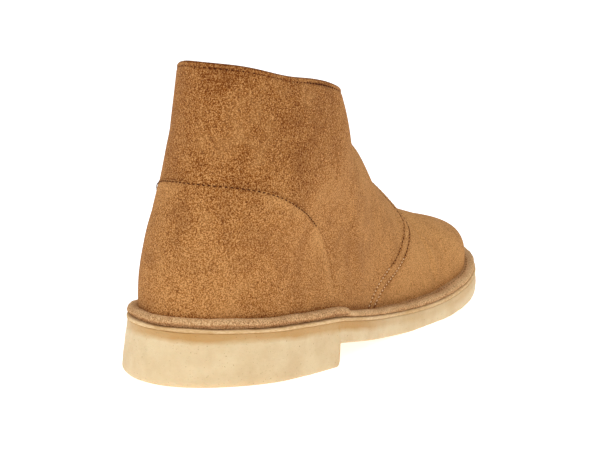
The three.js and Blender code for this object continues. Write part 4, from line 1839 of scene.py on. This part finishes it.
    def spot(self, u: float, across: float, side: Side) -> tuple[Array, Array]:
        """Point on the surface at a distance from the ridge, and its normal.

        Args:
            u: Forward place.
            across: Half width to find.
            side: Which side.

        Returns:
            The point and its outward normal.
        """
        last = self.last
        low, high = float(last.feather(u)), float(last.ridge(u))
        for _ in range(40):
            middle = (low + high) / 2
            wide = float(last.skin(np.array([u]), np.array([middle]))[1][0]) > across
            low, high = (middle, high) if wide else (low, middle)
        sign = np.array([side.value])
        place = self.on_skin(np.array([u]), np.array([low]), sign)[0]
        lifted = self.on_skin(np.array([u]), np.array([low]), sign, 1.0)[0]
        return place, unit(lifted - place)

    def eyelet(self, u: float, side: Side) -> Patch:
        """A punched eyelet with a turned rim: a profile turned round the surface's normal.

        Args:
            u: Forward place.
            side: Which side.

        Returns:
            The closed eyelet.
        """
        place, normal = self.spot(u, self.across, side)
        # radius, height over the suede
        profile = np.array([
            (3.3, -0.4), (3.25, 0.12), (3.0, 0.34), (2.7, 0.36), (2.5, 0.2), (2.42, -0.2), (2.4, -1.2),
            (0.0, -1.2),
        ])
        first = unit(np.cross(normal, np.array([0.0, 0.0, 1.0])))
        second = np.cross(normal, first)
        turn = np.linspace(0, 2 * math.pi, 28, endpoint=False)
        ring = first[None] * np.cos(turn)[:, None] + second[None] * np.sin(turn)[:, None]
        points = place + profile[:, :1, None] * ring[None] + profile[:, 1:, None] * normal[None, None]
        quads = grid_faces(*points.shape[:2], closed=True)
        # The inside of the punched hole is painted dark as its shade, and the rim a little darker than the
        # suede.
        tone_and_painted_shading = np.repeat(np.where(profile[:, 1] < -0.1, -1.0, -0.1), len(turn))
        return Patch(points.reshape(-1, 3), quads, {"tone_and_painted_shading": tone_and_painted_shading}).welded()

    def lace(self, u: float) -> Patch:
        """One bar of lace: a round tube out of the lateral eyelet, over the tongue, into the medial one.

        The middle line is a smooth curve through eight places on and over the surface, and the tube is a
        circle carried along it.

        Args:
            u: Forward place of its eyelets.

        Returns:
            The closed tube.
        """
        clear = self.lace_radius + 0.6
        places = []
        for side in (Side.MEDIAL, Side.LATERAL):
            stops = [(self.across, -1.1), (self.across, 0.2), (self.across - 2.2, clear), (6.75, clear)]
            half = [self.spot(u, across, side) for across, _ in stops]
            half = [place + normal * stop[1] for (place, normal), stop in zip(half, stops)]
            places += half if side is Side.MEDIAL else half[::-1]
        rows = np.array(places)
        run = np.concatenate([[0.0], np.cumsum(np.linalg.norm(np.diff(rows, axis=0), axis=1) ** 0.5)])
        at = np.linspace(0, run[-1], 70)
        line = np.stack([spline(tuple(zip(run, rows[:, k])))(at) for k in range(3)], axis=1)
        heading = unit(np.gradient(line, axis=0))
        level = unit(np.cross(heading, np.array([0.0, 1.0, 0.3])))
        other = np.cross(heading, level)
        turn = np.linspace(0, 2 * math.pi, 20, endpoint=False)
        strands, along = turn[None] * 4, at[:, None] * 18
        braid = 1 + 0.05 * np.sin(strands + along) * np.sin(strands - along)
        close = np.ones((len(at), 1))
        close[0] = close[-1] = 0
        reach = self.lace_radius * braid * close
        points = (
            line[:, None]
            + level[:, None] * (np.cos(turn) * reach)[..., None]
            + other[:, None] * (np.sin(turn) * reach)[..., None]
        )
        quads = grid_faces(*points.shape[:2], closed=True)
        patch = Patch(points.reshape(-1, 3), quads).welded()
        normals = point_normals(patch.points, patch.quads)
        middle = len(at) // 2
        gap = np.linalg.norm(patch.points - line[middle], axis=1)
        pick = np.argmin(np.abs(gap - self.lace_radius))
        if normals[pick] @ (patch.points[pick] - line[middle]) < 0:
            patch.quads = patch.quads[:, ::-1]
        return patch

    def build(self) -> None:
        """Makes and dresses the pieces."""
        self.gathered([self.collar_row()]).piece("collar_stitching", SEAM_THREAD_AND_HOLE_SHADE, "suede")
        self.gathered([self.counter_row()]).piece("counter_stitching", SEAM_THREAD_AND_HOLE_SHADE, "suede")
        near, far = self.upper.row_insets
        rows = self.seam_rows(near, 34, 74) + self.seam_rows(far, 32, 62)
        pale = self.seam_rows(near, 10, 34) + self.seam_rows(far, 10, 32)
        self.gathered(rows).piece("quarter_stitching", SEAM_THREAD_AND_HOLE_SHADE, "suede")
        self.gathered(pale).piece("quarter_stitching_low", PALE_THREAD, "suede")
        welt = reduce(Patch.joined, [row.mesh() for row in self.welt_rows()])
        welt.piece("welt_stitching", WELT_THREAD, "suede")
        for u in self.eyelets:
            for side in Side:
                self.eyelet(u, side).piece(f"eyelet_{side.name.lower()}_{int(u)}", SUEDE, "suede")
        for name, u in zip(("lace_lower", "lace_upper"), self.eyelets):
            bar = self.lace(u).piece(f"{name}_braid", LACE, "lace_cotton")
            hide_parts(name)


# ---- stage, light and camera -------------------------------------------------------------------------


@dataclass
class Studio:
    """Pale floor, soft light and the camera."""

    azimuth: float = 24.1
    elevation: float = 10.03
    roll: float = 1.73
    distance: float = 2.1897
    target: tuple[float, float, float] = (0.00875, -0.02002, 0.0554)
    lens: float = 279.4
    floor_half: float = 30.0

    def floor(self) -> None:
        """A wide pale floor."""
        reach = self.floor_half
        mesh = bpy.data.meshes.new("floor")
        corners = [(-reach, -reach, 0), (reach, -reach, 0), (reach, reach, 0), (-reach, reach, 0)]
        mesh.from_pydata(corners, [], [(0, 1, 2, 3)])
        recipe = Recipe("floor_paper")
        recipe.set(Base_Color=(0.93, 0.93, 0.93), Roughness=0.9)
        recipe.set(Emission_Color=(1.0, 1.0, 1.0), Emission_Strength=0.6)
        mesh.materials.append(recipe.material)
        floor = bpy.data.objects.new("floor", mesh)
        bpy.context.scene.collection.objects.link(floor)

    def lamp(self, name: str, place: Vector, size: float, power: float) -> None:
        """One square soft light that looks at the boot.

        Args:
            name: Name of the light.
            place: Where it stands.
            size: Length of its side.
            power: Its power in watts.
        """
        light = bpy.data.lights.new(name, "AREA")
        light.shape = "SQUARE"
        light.size = size
        light.energy = power
        lamp = bpy.data.objects.new(name, light)
        lamp.location = place
        lamp.rotation_euler = (Vector((0, 0, 0.07)) - place).to_track_quat("-Z", "Y").to_euler()
        bpy.context.scene.collection.objects.link(lamp)

    def light(self) -> None:
        """An even white room and two large soft lights."""
        world = bpy.data.worlds.new("room")
        world.use_nodes = True
        world.node_tree.nodes["Background"].inputs["Color"].default_value = (1.0, 1.0, 1.0, 1.0)
        world.node_tree.nodes["Background"].inputs["Strength"].default_value = 0.6
        bpy.context.scene.world = world
        self.lamp("key", Vector((-1.1, -1.5, 1.9)), 1.4, 21)
        self.lamp("fill", Vector((1.9, -0.6, 1.3)), 1.6, 13)

    def camera(self) -> None:
        """The camera: turned round the boot by azimuth and elevation, then rolled."""
        turn, rise, lean = (math.radians(v) for v in (self.azimuth, self.elevation, self.roll))
        back = Vector((math.sin(turn) * math.cos(rise), -math.cos(turn) * math.cos(rise), math.sin(rise)))
        right = (-back).cross(Vector((0, 0, 1))).normalized()
        up = right.cross(-back)
        across = right * math.cos(lean) + up * math.sin(lean)
        top = up * math.cos(lean) - right * math.sin(lean)
        data = bpy.data.cameras.new("camera")
        data.lens = self.lens
        data.sensor_width = 36.0
        data.clip_end = 100.0
        camera = bpy.data.objects.new("camera", data)
        place = Vector(self.target) + back * self.distance
        camera.matrix_world = Matrix.Translation(place) @ Matrix((across, top, back)).transposed().to_4x4()
        bpy.context.scene.collection.objects.link(camera)
        bpy.context.scene.camera = camera

    def build(self) -> None:
        """Sets the stage."""
        self.floor()
        self.light()
        self.camera()
        bpy.context.scene.view_settings.view_transform = "Standard"


def dress_insole() -> None:
    """Gives the carried-over insole its leather."""
    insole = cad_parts["insole"]
    for slot in insole.material_slots:
        slot.material = INSOLE.material()


def main() -> None:
    """Builds the boot from the last outwards, then the stage."""
    logging.basicConfig(level=logging.INFO, format="%(name)s: %(message)s")
    sole = Sole()
    last = Last(sole)
    upper = Upper(last)
    bottom = Bottom(sole)
    upper.build()
    bottom.build()
    Trim(last, upper, bottom).build()
    dress_insole()
    Studio().build()


if __name__ == "__main__":
    main()
